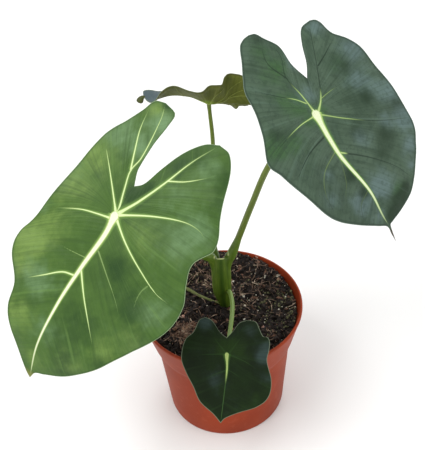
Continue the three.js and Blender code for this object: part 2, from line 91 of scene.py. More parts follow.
# Each leaf is drawn flat first: u runs from the hub to the tip, v across, below 0 on the L side and
# above 0 on the R side. s runs from -1 at a lobe's end through 0 at the hub to 1 at the tip, along the
# lobe's rib and the midrib. Edge rows: s, u, v and, where it isn't 0, the bow of the vein that ends
# there. Veins: the midrib M or a vein of side L or R, its half width at its start, the share of it that
# is pale, how pale it is (below 0: a dark line, painted shade along a sunken vein) and its points; the
# first of a side is the lobe's rib. Patches of dark and warm green and of painted sheen: u, v, radius
# and amount. The sheen patches are painted: bluish grey where the velvet catches the light. The dark
# patches are partly the leaf's own mottling and partly painted shade in folds, at curled edges and
# between the quilted veins. The warm patches are partly the leaf's own yellow-green and partly
# painted light on the lit side of the left blade.
LEAVES = {
    "left": {
        "hub": (-61, -50, 230), "heading": (-142, -47, -24), "bend": (0.0035, 0.003), "tiltL": even(6),
        "tiltR": even(6), "rise": even(0), "crease": 5, "curl": 0.0012, "dip": 0,
        "wave": (2.2, 46, 0.6, 50),
        "midrib": [[0, 0], [20, -1], [45, -5], [89, -11], [122, -12], [135, -10]],
        "ribL": [[0, 0], [-16, -4], [-27, -5], [-38, -3], [-52, -3], [-64, -5], [-74, -8]],
        "ribR": [[0, 0], [-19, 12], [-33, 18], [-48, 26], [-61, 32], [-68, 35]],
        "edgeL": [
            [-1, -74, -8], [-0.85, -72, -14], [-0.5, -63, -18], [-0.3, -53, -23], [-0.12, -40, -30, 1],
            [-0.07, -26, -34], [-0.03, -12, -37, -2], [0.03, 24, -45, -4.5], [0.16, 41, -51, -4],
            [0.3, 54, -50, -3], [0.46, 74, -42, -2], [0.6, 90, -40], [0.76, 105, -33], [0.9, 122, -21],
            [0.96, 131, -14], [1, 135, -10]],
        "innerL": [
            [0, -21, 2], [-0.25, -25, 0.5], [-0.4, -30, -1], [-0.5, -35, -1.2], [-0.6, -42, -1],
            [-0.7, -50, -0.6], [-0.85, -64, 1.2], [-0.94, -71.5, 0.5], [-1, -74, -8]],
        "edgeR": [
            [-1, -68, 35], [-0.85, -66, 43], [-0.6, -53, 51], [-0.3, -30, 59, -3],
            [-0.12, -12, 64, -5.5], [-0.06, 0, 58, -2], [0, 13, 60.5, 3], [0.06, 27, 64, 7],
            [0.16, 47, 62, 3], [0.26, 72, 47], [0.36, 83, 40, -1], [0.46, 94, 33, -2], [0.6, 106, 23],
            [0.76, 117, 12], [0.9, 125.5, -1], [0.96, 129, -7.5], [1, 135, -10]],
        "innerR": [
            [0, -21, 2], [-0.25, -26, 7], [-0.5, -39, 12], [-0.75, -54, 19], [-0.9, -64, 27],
            [-1, -68, 35]],
        "veins": [
            ("M", 2.0, 1.2, 1, [[0.5, 0], [14, 0], [38, -4], [71, -9], [107, -12], [135, -10]]),
            ("L", 0.65, 1.2, 0.85, [[-2, 1], [-18, -3], [-28, -5], [-38, -3], [-64, -5], [-74, -8]]),
            ("L", 0.6, 0.95, 0.9, [[-28, -5], [-40, -9], [-53, -13], [-68, -15]]),
            ("L", 0.65, 1.15, 1, [[-1, 0], [-15, -11], [-26, -20], [-33, -26]]),
            ("L", 0.7, 0.95, 1, [[3, 0], [5, -10], [8, -21], [16, -37]]),
            ("L", 0.7, 0.95, 1, [[47, -6], [49, -14], [57, -24], [68, -37]]),
            ("L", 0.35, 0.8, 0.15, [[33, -4], [34, -14], [35, -29]]),
            ("R", 1.0, 1, 1, [[-1, 1], [-6, 4], [-14, 9], [-34, 19], [-53, 27], [-68, 35]]),
            ("R", 0.5, 0.8, 0.8, [[-34, 19], [-39, 29], [-47, 39], [-53, 44]]),
            ("R", 0.75, 0.95, 1, [[-1, 2], [-11, 21], [-18, 40], [-18, 51], [-13, 59]]),
            ("R", 0.75, 1.15, 1, [[1, 1], [11, 14], [21, 31], [29, 47], [30, 59]]),
            ("R", 0.6, 0.95, 0.12, [[25, 1], [37, 15], [48, 28], [57, 36]]),
            ("R", 0.6, 0.9, 0.05, [[27, 39], [32, 37], [39, 37], [50, 41]]),
            ("R", 0.7, 0.95, 1, [[41, -4], [54, 4], [68, 14], [84, 25]])],
        # Partly the leaf's own mottling, partly painted shade: in the fold by the notch on the R lobe,
        # between the quilted veins and at the curled top of the L lobe
        "dark": [
            (-15, 5, 7, 0.9), (-24, 11, 6, 0.6), (-44, 19, 10, 0.5), (-55, 26, 8, 0.4),
            (27, 16, 9, 0.65), (38, 28, 13, 0.35), (48, 38, 12, 0.4), (-52, 48, 8, 0.45),
            (-38, 55, 9, 0.4), (60, 50, 9, 0.3), (90, 33, 8, 0.4), (112, 12, 10, 0.4), (75, 8, 18, 0.4),
            (100, 8, 12, 0.35), (-74, -6, 3, 0.9)],
        # Partly the leaf's own yellow-green, partly painted light: the lit L half of the blade and a lit
        # band at the top of the L lobe
        "warm": [
            (42, -42, 12, 0.7), (58, -40, 9, 0.6), (92, -30, 11, 0.55), (118, -12, 8, 0.35),
            (105, 14, 10, 0.5), (82, 33, 11, 0.4), (-2, -34, 15, 0.4), (-26, -28, 12, 0.45),
            (4, 22, 12, 0.3), (61, 46, 10, 0.35), (26, -33, 12, 0.4), (-67, -10, 5, 0.7)],
        # Painted sheen: bluish grey where the velvet catches the light
        "painted_sheen": [
            (-62, -2, 8, 0.7), (-44, -6, 8, 0.5), (-45, -22, 12, 0.45), (-28, 28, 12, 0.25),
            (-18, 50, 11, 0.45), (38, 50, 13, 0.3), (17, -47, 7, 0.4), (-11, -44, 10, 0.4),
            (92, -11, 10, 0.35), (62, -27, 12, 0.5), (-52, 38, 9, 0.4), (-5, 45, 12, 0.3)],
        "quilt": 0.5,
    },
    "right": {
        "hub": (64, -25, 277), "heading": (-53, -38, 10), "bend": (0.006, 0.002), "tiltL": even(9),
        "tiltR": even(9), "rise": even(0), "crease": 5, "curl": 0.0022, "dip": 4,
        "wave": (1.4, 40, 0, 50),
        "midrib": [[0, 0], [26, -2], [54, 5], [74.9, 8.2], [82, 10.1], [94.8, 12]],
        "ribL": [[0, 0], [-12, -3], [-30, -3], [-49, -5], [-62, -8]],
        "ribR": [[0, 0], [-7, 7], [-21, 15], [-39, 24], [-51.7, 30.2]],
        "edgeL": [
            [-1, -62, -8], [-0.94, -61, -12.7], [-0.86, -58.2, -17.2], [-0.6, -48, -23],
            [-0.4, -39, -28.5], [-0.23, -30, -33], [-0.1, -15.7, -34.4], [-0.03, -3.4, -38.1],
            [0.04, 11.4, -45.2, -3], [0.15, 22, -41, -4], [0.27, 38.5, -34.4, -5],
            [0.39, 53, -28.5, -7], [0.55, 63, -21, -5], [0.68, 72, -9, -2], [0.79, 79.3, 2.9],
            [0.87, 82.9, 8.9], [0.94, 89, 10.4], [1, 94.8, 12]],
        "innerL": [
            [0, -21, 7], [-0.3, -33, 4], [-0.6, -47, 4], [-0.8, -56, -1], [-0.93, -61, -4],
            [-1, -62, -8]],
        "edgeR": [
            [-1, -51.7, 30.2], [-0.9, -50.4, 33.9], [-0.8, -47.2, 35.7], [-0.55, -37.7, 37.5],
            [-0.4, -29.6, 43.8], [-0.27, -20, 48.5], [-0.12, -5, 50], [-0.04, 14, 51, 2],
            [0.04, 33.6, 52.2, 3], [0.15, 46, 46.5], [0.27, 55.3, 41.5, -3], [0.39, 63.6, 37.2, -4.5],
            [0.55, 71.5, 31.1, -2], [0.68, 77.4, 21.6], [0.79, 81.3, 13.5], [0.87, 83, 11.2],
            [0.94, 89.1, 11.4], [1, 94.8, 12]],
        "innerR": [
            [0, -21, 7], [-0.3, -29, 12], [-0.6, -41, 17], [-0.85, -50, 23], [-1, -51.7, 30.2]],
        "veins": [
            ("M", 2.3, 1.15, 1, [[0.5, -1.2], [16, -2], [31, -1], [57, 6], [74, 8], [83, 10]]),
            ("L", 0.6, 0.5, 0.75, [[1, -1], [-13, -2], [-28, -4], [-40, 1], [-50, 1]]),
            ("L", 0.4, 1, -0.5, [[-27, -4], [-40, -9], [-52, -6]]),
            ("L", 0.45, 0.4, 0.7, [[-8, -2.5], [-13, -7], [-19, -15], [-31, -29]]),
            ("L", 0.5, 0.65, 0.8, [[1, -1], [2, -15], [7, -33], [11, -42]]),
            ("L", 0.5, 0.95, 0.17, [[25, -2], [33, -16], [44, -22], [57, -22]]),
            ("L", 0.45, 0.9, 0.1, [[29, -2], [45, -6], [51, -10], [63, -14]]),
            ("L", 0.4, 0.7, 0.08, [[56, 5], [62, -3], [72, -5]]),
            ("L", 0.5, 1.4, -0.7, [[14, -2], [19, -19], [29, -35]]),
            ("R", 0.6, 0.3, 0.8, [[1, 0], [-6, 7], [-19, 14], [-34, 21], [-49, 28]]),
            ("R", 0.4, 1, -0.6, [[-24, 17], [-28, 25], [-35, 37]]),
            ("R", 0.4, 0.8, 0.3, [[-6, 7], [-7, 13], [-8, 24]]),
            ("R", 0.5, 0.5, 0.55, [[1, 0], [12, 14], [22, 30], [32, 54]]),
            ("R", 0.6, 0.12, 0.8, [[27, -1], [39, 15], [52, 28], [63, 35]])],
        # Partly the leaf's own mottling, partly painted shade: in bands between the quilted veins and in
        # the fold right of the midrib near the tip
        "dark": [
            (32, 30, 8, 0.55), (21, 15, 7, 0.45), (7, 30, 7, 0.5), (2, 20, 6, 0.4), (-17, 31, 8, 0.4),
            (19, 47, 6, 0.4), (77, 15, 5, 0.95), (71, 22, 6, 0.9), (66, 28, 4, 0.7), (42, -1, 6, 0.7),
            (56, 2, 5, 0.6), (41, 25, 7, 0.4), (0, -31, 6, 0.5), (-59, -4, 5, 0.6), (-45, 10, 5, 0.4)],
        "warm": [
            (-8, -8, 7, 0.7), (-15, -14, 8, 0.5), (-33, -12, 9, 0.4), (6, -37, 9, 0.7),
            (10, -24, 8, 0.4), (-20, 28, 7, 0.35), (66, 24, 6, 0.6), (-36, -5, 7, 0.5), (2, -7, 5, 0.5),
            (0, 4, 4, 0.4), (-50, -8, 7, 0.4)],
        # Painted sheen: bluish grey where the velvet catches the light
        "painted_sheen": [
            (25, 35, 5, 0.5), (30, 47, 8, 0.8), (45, 42, 6, 0.6), (56, 37, 4, 0.5), (57, 14, 8, 0.9),
            (61, -3, 7, 0.8), (48, -20, 6, 0.4), (36, -15, 5, 0.4), (11, 48, 8, 0.6), (-5, 33, 8, 0.5),
            (-22, 42, 10, 0.6), (26, 16, 6, 0.5), (-12, 0, 7, 0.5), (-33, 6, 5, 0.4), (5, 40, 8, 0.4),
            (-46, 31, 6, 0.6), (74, 5, 5, 0.5)],
        "quilt": 0.9,
    },
    "back": {
        "hub": (0.7, 40, 248.7), "heading": (180, 0, 0), "bend": (0, 0),
        "tiltL": [
            [-30, -39], [-20.5, -40], [-18.5, -48], [-15, -39], [0, -36], [25, -34], [33, -5], [38, 16],
            [48, 16]],
        "tiltR": [
            [-30, 76], [-20, 86], [-13, 82], [-9, 62], [0, 60], [4, 50], [8, 44], [13, 43], [23, 51],
            [31, 46], [36, 24], [48, 0]],
        "rise": [
            [-29, -4.6], [-13, -1.5], [0, 0], [4, 2.1], [12, 6.3], [24, 8.2], [35, 6.2], [48, 5]],
        "crease": 1.5, "curl": 0, "dip": 1, "wave": (0, 27, 0, 20),
        "midrib": [[0, 0], [20, 0], [38, -1], [43.5, -4]], "ribL": [[0, 0], [-12, -6], [-27, -12]],
        "ribR": [[0, 0], [-14, 7], [-33, 12]],
        "edgeL": [
            [-1, -27, -12], [-0.8, -25.5, -16], [-0.4, -14, -20], [0, 1, -21], [0.25, 11, -20],
            [0.6, 27, -15], [0.72, 31, -10.5], [0.82, 35.5, -8.3], [0.94, 43.2, -9], [1, 43.5, -4]],
        "innerL": [[0, -11, 0], [-0.4, -19, -4], [-0.8, -25, -8], [-1, -27, -12]],
        "edgeR": [
            [-1, -33, 12], [-0.8, -27, 24], [-0.5, -16, 26], [-0.38, -12, 26.8], [-0.31, -10.3, 29.2],
            [-0.25, -8.9, 26.2], [-0.18, -6.4, 27], [-0.1, -1.1, 25.3], [0.05, 4, 21], [0.25, 11, 20],
            [0.45, 21, 20], [0.65, 31, 15], [0.85, 37.5, 9.5], [0.95, 41.6, 0], [1, 43.5, -4]],
        "innerR": [[0, -11, 0], [-0.4, -19, 0.8], [-0.8, -29, 1.5], [-1, -33, 12]],
        "veins": [
            ("M", 1.2, 0.6, 1, [[0, 0], [20, 0], [38, -1], [43, -4]]),
            ("L", 0.5, 1, 0.8, [[0, 0], [-12, -6], [-26, -12]]),
            ("L", 0.35, 1, 0.6, [[-7, -3], [-14, -18]]),
            ("L", 0.35, 1, 0.6, [[1, 0], [3, -19]]),
            ("L", 0.35, 1, 0.6, [[16, 0], [20, -16]]),
            ("R", 0.6, 1, 0.9, [[0, 0], [-14, 7], [-32, 12]]),
            ("R", 0.4, 1, 0.8, [[-4, 2], [-12, 12], [-24, 23]]),
            ("R", 0.35, 1, 0.6, [[-10, 5], [-18, 11], [-29, 18]]),
            ("R", 0.4, 1, 0.6, [[-1, 1], [-4, 12], [-11, 24]]),
            ("R", 0.4, 1, 0.6, [[16, 0], [21, 19]])],
        # Its third patch is painted sheen, bluish grey, on the upper face where it shows at the tip
        "dark": [(44, 3, 5, 0.6)], "warm": [(0, 1, 5, 0.7)], "painted_sheen": [(38, -4, 9, 0.9)], "quilt": 0.3,
    },
    "front": {
        "hub": (1, -68, 118), "heading": (-104, -50, -10), "bend": (0.004, 0.006), "tiltL": even(7),
        "tiltR": even(7), "rise": even(0), "crease": 5, "curl": 0.003, "dip": 0, "wave": (1, 26, 0, 30),
        "midrib": [[0, 0], [34, 0], [48, 0]], "ribL": [[0, 0], [-12, -8], [-23.4, -16.4]],
        "ribR": [[0, 0], [-12, 6], [-23.7, 10.9]],
        "edgeL": [
            [-1, -23.4, -16.4], [-0.9, -21.4, -20.2], [-0.72, -16.2, -22.2], [-0.55, -12.4, -23.9],
            [-0.3, -7, -28.5], [0.05, 6, -30, -1], [0.2, 15, -26], [0.4, 24, -20.5], [0.65, 34, -15],
            [0.85, 42, -5.5], [1, 48, 0]],
        "innerL": [
            [0, -11, -1], [-0.4, -14.4, -5.9], [-0.7, -19.1, -9.5], [-0.9, -22.2, -12.6],
            [-1, -23.4, -16.4]],
        "edgeR": [
            [-1, -23.7, 10.9], [-0.8, -23.3, 17.4], [-0.6, -18.6, 20.5], [-0.5, -14, 23.3],
            [-0.45, -13.8, 26], [-0.34, -10.5, 27.9], [-0.2, -4.5, 27.8], [-0.08, 2, 27.2],
            [0.05, 14, 31, 2], [0.3, 26, 30.5], [0.6, 34, 23], [0.8, 40, 10], [0.92, 44.5, 2.5],
            [1, 48, 0]],
        "innerR": [[0, -11, -1], [-0.4, -16, 3], [-0.75, -21.5, 6.5], [-1, -23.7, 10.9]],
        "veins": [
            ("M", 0.8, 0.45, 1, [[0, 0], [10, 1], [24, 0.7], [47, 0]]),
            ("L", 0.4, 0.7, 0.25, [[0, 0], [-11, -10], [-19, -15]]),
            ("L", 0.35, 0.8, 0.35, [[0, -1], [2, -18], [5, -26]]),
            ("L", 0.3, 0.7, 0.3, [[11, 0], [16, -10], [22, -17]]),
            ("R", 0.4, 0.7, 0.25, [[0, 1], [-13, 9], [-21, 13]]),
            ("R", 0.35, 0.8, 0.35, [[0, 1], [4, 13], [13, 29]]),
            ("R", 0.3, 0.7, 0.3, [[10, 1], [15, 10], [21, 14]])],
        "dark": [(11, -25, 6, 0.4), (28, -13, 6, 0.3), (27, 15, 8, 0.3)],
        "warm": [(-5, 4, 7, 0.5), (-5, -4, 6, 0.4), (1, 11, 6, 0.3), (30, 20, 7, 0.3)],
        # Painted sheen: bluish grey on the L lobe and on the shoulder of the R side
        "painted_sheen": [
            (-20, -16, 5, 0.8), (-1, 25, 6, 0.7), (-8, 26, 4, 0.5), (14, 28, 5, 0.35), (18, -7, 6, 0.3),
            (-18, 14, 5, 0.3)],
        "quilt": 0.4,
    },
}

# Leaf stalks: points from the crown to just under the hub, radius at each end and the count of points
# that lie along the crown and its sheath
STALKS = {
    "left": ([[-1.2, 9, 112], [-2.6, 8.6, 124], [-3.8, 8.2, 133.4], [-6, 6.4, 139.5], [-11, 1.5, 147],
              [-23, -9, 165], [-38, -24, 189], [-51, -38, 211]], (2.8, 2.0), 6),
    "right": ([[4.2, 9, 112], [5.4, 8.6, 124], [7, 8.3, 133.4], [9.6, 7.6, 139.5], [12, 6.2, 147],
               [16.7, 3.5, 163], [24.5, -2, 191], [36, -10, 229], [50, -18, 256]], (2.7, 1.9), 6),
    "back": ([[0, 12.5, 112], [-1.8, 14.2, 124], [-2.6, 14.9, 133.4], [-3, 15.6, 138], [-2.8, 18, 148],
              [-0.8, 25, 180], [1.6, 34, 219]], (2.6, 1.3), 5),
    "front": ([[3.4, 8, 101], [5.6, 5.2, 105.3], [6.9, 2.2, 106.6], [7.5, -3.2, 107.6],
               [7.8, -10.8, 108.6], [7.4, -19.1, 109.8], [6.2, -30, 111], [3.9, -45.4, 112.2]],
              (1.7, 1.5), 0),
}
# Upper edge of the sheath between the stalks
SHEATH_EDGE = [[-5.9, 6.6, 142], [-3.4, 4.9, 140.5], [2.7, 3.6, 139.8], [5.6, 4.6, 140.6],
               [8, 6, 142.8], [9.4, 7, 146.5]]
# The withered stalk on the soil, from the crown outwards, seen from above
OLD_STALK = [[-1.2, 8.6], [-6.6, 11.4], [-11, 14], [-17, 19], [-22.5, 24], [-27, 27.5]]
OLD_STALK_RADIUS = 1.5
# The back leaf's rolled-up tip
TIP_CURL = [[-41.3, 43.7, 253.7], [-43.4, 43.9, 253], [-45, 43.5, 251.4], [-46, 42.9, 249.6]]


# Shapes in numbers

def smooth(rows, s):
    """Values at s on smooth curves through rows of s, a, b, ..."""
    table = np.array(sorted(rows), float)
    keys, values = table[:, 0], table[:, 1:]
    s = np.asarray(s, float)
    i = np.clip(np.searchsorted(keys, s) - 1, 0, len(keys) - 2)
    before, after = np.maximum(i - 1, 0), np.minimum(i + 2, len(keys) - 1)
    a, b = values[i], values[i + 1]
    span = (keys[i + 1] - keys[i])[..., None]
    t = np.clip((s - keys[i])[..., None] / span, 0, 1)
    slope_a = (b - values[before]) / (keys[i + 1] - keys[before])[..., None] * span
    slope_b = (values[after] - a) / (keys[after] - keys[i])[..., None] * span
    return (a * (2 * t**3 - 3 * t**2 + 1) + slope_a * (t**3 - 2 * t**2 + t)
            + b * (3 * t**2 - 2 * t**3) + slope_b * (t**3 - t**2))


def along(points, share):
    """Points of a smooth line at shares of its length."""
    points = np.array(points, float)
    reach = np.concatenate([[0], np.cumsum(np.linalg.norm(np.diff(points, axis=0), axis=1))])
    return smooth(np.column_stack([reach / reach[-1], points]).tolist(), share)


def line_distance(points, line):
    """Distance of flat points to a line, the share of the line nearest to each, and its side, 1 or -1."""
    start, step = line[:-1], np.diff(line, axis=0)
    size = np.maximum((step**2).sum(1), 1e-9)
    away = points[:, None, :] - start[None]
    t = np.clip((away * step).sum(2) / size, 0, 1)
    gap = np.linalg.norm(away - t[..., None] * step, axis=2)
    nearest = gap.argmin(1)
    each = np.arange(len(points))
    turn = (step[nearest, 0] * away[each, nearest, 1] - step[nearest, 1] * away[each, nearest, 0])
    return gap[each, nearest], (nearest + t[each, nearest]) / len(step), np.where(turn < 0, -1, 1)


def ramp(x, low, high):
    """0 below low, 1 above high, smooth between."""
    t = np.clip((x - low) / (high - low), 0, 1)
    return t * t * (3 - 2 * t)


# Rows crowd towards the hub, where the veins of the leaf fan out
EASE = 1.4


def margin(leaf, side, inner):
    """Rows of a blade's edge or, for its notch, inner edge, with a bow of 0 where none is given."""
    return [(*row, 0)[:4] for row in leaf[("inner" if inner else "edge") + side]]


def flat_rows(leaf, side, inner, s):
    """Rib end, edge end and bow of the rows at s."""
    rib = np.where((s >= 0)[:, None], along(leaf["midrib"], np.abs(s)**EASE),
                   along(leaf["rib" + side], np.abs(s)**EASE))
    edge = smooth(margin(leaf, side, inner), s)
    return rib, edge[:, :2], edge[:, 2]


def flat_points(leaf, side, inner, s, b):
    """Flat places (u, v) of a grid of rows s and columns b."""
    rib, edge, bow = flat_rows(leaf, side, inner, s)
    out = rib[:, None] + (edge - rib)[:, None] * b[None, :, None]
    out[..., 0] += bow[:, None] * 4 * b * (1 - b)
    return out


def hub_frame(leaf):
    """Directions of the blade at its hub: to the tip, across and out of the upper face."""
    azimuth, pitch, roll = np.radians(leaf["heading"])
    tip = np.array([math.cos(pitch) * math.cos(azimuth), math.cos(pitch) * math.sin(azimuth),
                    math.sin(pitch)])
    level = np.array([-math.sin(azimuth), math.cos(azimuth), 0])
    across = math.cos(roll) * level + math.sin(roll) * np.cross(tip, level)
    return tip, across, np.cross(tip, across)


def in_space(leaf, u, v, lift=0):
    """Places in space of flat points, raised by a lift over the upper face, in millimetres."""
    tip, across, out = hub_frame(leaf)
    k = np.where(u > 0, *leaf["bend"]) + 1e-9
    turn = (k * u)[:, None]
    out_here = out * np.cos(turn) + tip * np.sin(turn)
    side = np.where(v > 0, 1, -1)[:, None]
    away = np.abs(v)[:, None]
    tilt = np.radians(np.where(v[:, None] > 0, smooth(leaf["tiltR"], u), smooth(leaf["tiltL"], u)))
    root = np.hypot(away, leaf["crease"])
    past = root - leaf["crease"]
    slope = away / root
    normal = out_here * (1 - (1 - np.cos(tilt)) * slope) - across * side * np.sin(tilt) * slope
    normal /= np.linalg.norm(normal, axis=1)[:, None]
    amplitude, length, phase, reach = leaf["wave"]
    swell = np.minimum(away / reach, 1)**2
    ripple = amplitude * swell * np.sin(2 * math.pi * u[:, None] / length + phase)
    tip_share = np.maximum(u, 0) / leaf["midrib"][-1][0]
    rise = smooth(leaf["rise"], u)[:, 0] - leaf["dip"] * tip_share**4 - (1 - np.cos(k * u)) / k
    return (np.array(leaf["hub"]) + tip * (np.sin(k * u) / k)[:, None] + out * rise[:, None]
            + across * side * (away - (1 - np.cos(tilt)) * past) + out_here * np.sin(tilt) * past
            + normal * (ripple - leaf["curl"] * away**2 + np.asarray(lift).reshape(-1, 1)))


def soil_height(x, y):
    """Height of the soil: level by the crown, uneven elsewhere, heaped against the back of the pot."""
    away = np.hypot(x - CROWN_ROWS[0][1], y - CROWN_Y)
    rough = np.clip(away / 9 - 1, 0, 1)
    crumbs = (np.sin(0.47 * x + 1.3 * np.sin(0.21 * y)) * np.sin(0.53 * y + 0.9)
              + 0.6 * np.sin(0.9 * x - 0.6 * y) + 0.5 * np.sin(0.33 * y - 0.28 * x + 2))
    rim = np.hypot(x, y) + 1e-6
    heap = (3.3 * (1 + y / rim) + 3.6 * np.maximum(y / rim, 0)**4) * ramp(rim, 34, 54)
    return SOIL_LEVEL + rough * (0.9 * crumbs - 0.02 * away) + heap


def soil_edge(x, y):
    """Radius of the soil's edge; it reaches further out where it is heaped up."""
    return 55.2 + 2.3 * ramp(y / (np.hypot(x, y) + 1e-6), 0.4, 0.95)


def tube_rings(path, radius_at, sides, steps, first_side=(0, 0, 1)):
    """Rings of points round a smooth path, with the direction of each point and the path's length."""
    t = np.linspace(0, 1, steps + 1)
    centre = along(path, t)
    tangent = np.gradient(centre, axis=0)
    tangent /= np.linalg.norm(tangent, axis=1)[:, None]
    side = np.array(first_side, float)
    rings = []
    for middle, ahead, share in zip(centre, tangent, t):
        side = side - ahead * (side @ ahead)
        if np.linalg.norm(side) < 1e-3:
            side = np.cross(ahead, (1, 0, 0))
        side /= np.linalg.norm(side)
        third = np.cross(ahead, side)
        turn = np.linspace(0, 2 * math.pi, sides, endpoint=False)[:, None]
        rings.append(middle + radius_at(share, turn) * (np.cos(turn) * side + np.sin(turn) * third))
    return np.array(rings), t * np.linalg.norm(np.diff(centre, axis=0), axis=1).sum()


# Blender pieces

# Corners nearer than this are welded, in millimetres
SEAM = 0.001


def pick(*pieces):
    """Leaves edit mode and selects just these pieces, the first of them active."""
    if bpy.context.object and bpy.context.object.mode != "OBJECT":
        bpy.ops.object.mode_set(mode="OBJECT")
    bpy.ops.object.select_all(action="DESELECT")
    for piece in pieces:
        piece.select_set(True)
    if pieces:
        bpy.context.view_layer.objects.active = pieces[0]


@contextmanager
def editing(piece):
    """Edit mode with all of a piece selected."""
    pick(piece)
    bpy.ops.object.mode_set(mode="EDIT")
    bpy.ops.mesh.select_all(action="SELECT")
    yield
    bpy.ops.object.mode_set(mode="OBJECT")


def vectors(data, key):
    """Vectors under a key of mesh data, a row each."""
    values = np.zeros(len(data) * 3, np.float32)
    data.foreach_get(key, values)
    return values.reshape(-1, 3)


def store(piece, key, values):
    """Keeps a number or a vector under a name for each of a piece's points."""
    kind, prop = ("FLOAT_VECTOR", "vector") if values.ndim == 2 else ("FLOAT", "value")
    layer = piece.data.attributes.new(key, kind, "POINT")
    layer.data.foreach_set(prop, values.astype(np.float32).ravel())


def grid(name, points, attributes, turned=False):
    """A grid primitive whose points are put in place row by row, with vectors kept at them.
    turned: its faces look the other way."""
    rows, columns = points.shape[:2]
    pick()
    bpy.ops.mesh.primitive_grid_add(x_subdivisions=columns - 1, y_subdivisions=rows - 1, size=1)
    piece = bpy.context.object
    piece.name = name
    order = slice(None, None, -1) if turned else slice(None)
    piece.data.vertices.foreach_set("co", (points[:, order] * MM).ravel())
    for key, values in attributes.items():
        store(piece, key, values[:, order].reshape(-1, 3))
    return piece


def join(name, pieces):
    """Joins pieces and closes the seams between them."""
    pick(*pieces)
    bpy.ops.object.join()
    whole = bpy.context.object
    whole.name = name
    with editing(whole):
        bpy.ops.mesh.remove_doubles(threshold=SEAM * MM)
        bpy.ops.mesh.delete_loose()
    return whole


def apply(piece, kind, **settings):
    """Adds a modifier and applies it."""
    pick(piece)
    modifier = piece.modifiers.new(kind.title(), kind)
    for key, value in settings.items():
        setattr(modifier, key, value)
    bpy.ops.object.modifier_apply(modifier=modifier.name)


def tube(name, rings, lengths):
    """A closed tube through rings of points, with its length and the way round as an attribute."""
    closed = np.concatenate([rings, rings[:, :1]], axis=1)
    turn = np.linspace(0, 2 * math.pi, closed.shape[1])
    skin = np.stack(np.broadcast_arrays(np.cos(turn)[None], np.sin(turn)[None],
                                        np.asarray(lengths)[:, None]), axis=2)
    piece = join(name, [grid(name, closed, {"skin": skin})])
    with editing(piece):
        bpy.ops.mesh.select_all(action="DESELECT")
        bpy.ops.mesh.select_mode(type="EDGE")
        bpy.ops.mesh.select_non_manifold()
        bpy.ops.mesh.edge_face_add()
        bpy.ops.mesh.select_all(action="SELECT")
        bpy.ops.mesh.normals_make_consistent(inside=False)
    return piece


def finish(piece, slot, *nodes, material=None, angle=60):
    """Gives a piece its finish and its place in the frame."""
    if material:
        piece.data.materials.append(material)
    pick(piece)
    bpy.ops.object.shade_smooth_by_angle(angle=math.radians(angle))
    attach(piece, "root")
    if nodes:
        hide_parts(*nodes)


# Finishes

def linear(colour):
    """Linear RGBA of an sRGB hex colour."""
    parts = [int(colour[i:i + 2], 16) / 255 for i in (1, 3, 5)]
    return [p / 12.92 if p <= 0.04045 else ((p + 0.055) / 1.055)**2.4 for p in parts] + [1]


def colour_property(name, description, colour):
    """A property that holds a colour, with its sRGB hex default."""
    return bpy.props.FloatVectorProperty(name=name, description=description, size=3, subtype="COLOR",
                                         default=linear(colour)[:3], min=0, max=1)


def add(tree, kind, inputs=None, **settings):
    """Adds a node with its settings; inputs are values or sockets to link."""
    node = tree.nodes.new(kind)
    for key, value in settings.items():
        setattr(node, key, value)
    for key, value in (inputs or {}).items():
        if isinstance(value, bpy.types.NodeSocket):
            tree.links.new(value, node.inputs[key])
        else:
            node.inputs[key].default_value = linear(value) if isinstance(value, str) else value
    return node


def new_material(name, **surface):
    """A material with its shader set, its node tree and its shader node."""
    material = bpy.data.materials.new(name)
    material.use_nodes = True
    shader = material.node_tree.nodes["Principled BSDF"]
    for key, value in surface.items():
        shader.inputs[key.replace("_", " ").title().replace("Ior", "IOR")].default_value = value
    return material, material.node_tree, shader


def paint(tree, shader, ground, layers, sources):
    """Colour of a shader, laid over a ground: each layer is a colour, the source that masks it, where it
    starts and is full, how strong it is and, for some, a second source that thins it."""
    colour = ground
    for tint, source, start, full, strength, *thinners in layers:
        mask = add(tree, "ShaderNodeMapRange", {
            "Value": sources[source], "From Min": start, "From Max": full, "To Min": 0.0,
            "To Max": strength}, interpolation_type="SMOOTHSTEP").outputs[0]
        for thinner in thinners:
            mask = add(tree, "ShaderNodeMath", {0: mask, 1: sources[thinner]},
                       operation="MULTIPLY").outputs[0]
        colour = add(tree, "ShaderNodeMix", {0: mask, 6: colour, 7: tint}, data_type="RGBA").outputs[2]
    tree.links.new(colour, shader.inputs["Base Color"])


def emboss(tree, shader, height, strength, depth):
    """Relief of a shader from a height, its depth in millimetres."""
    bump = add(tree, "ShaderNodeBump", {"Strength": strength, "Distance": depth * MM, "Height": height})
    tree.links.new(bump.outputs[0], shader.inputs["Normal"])


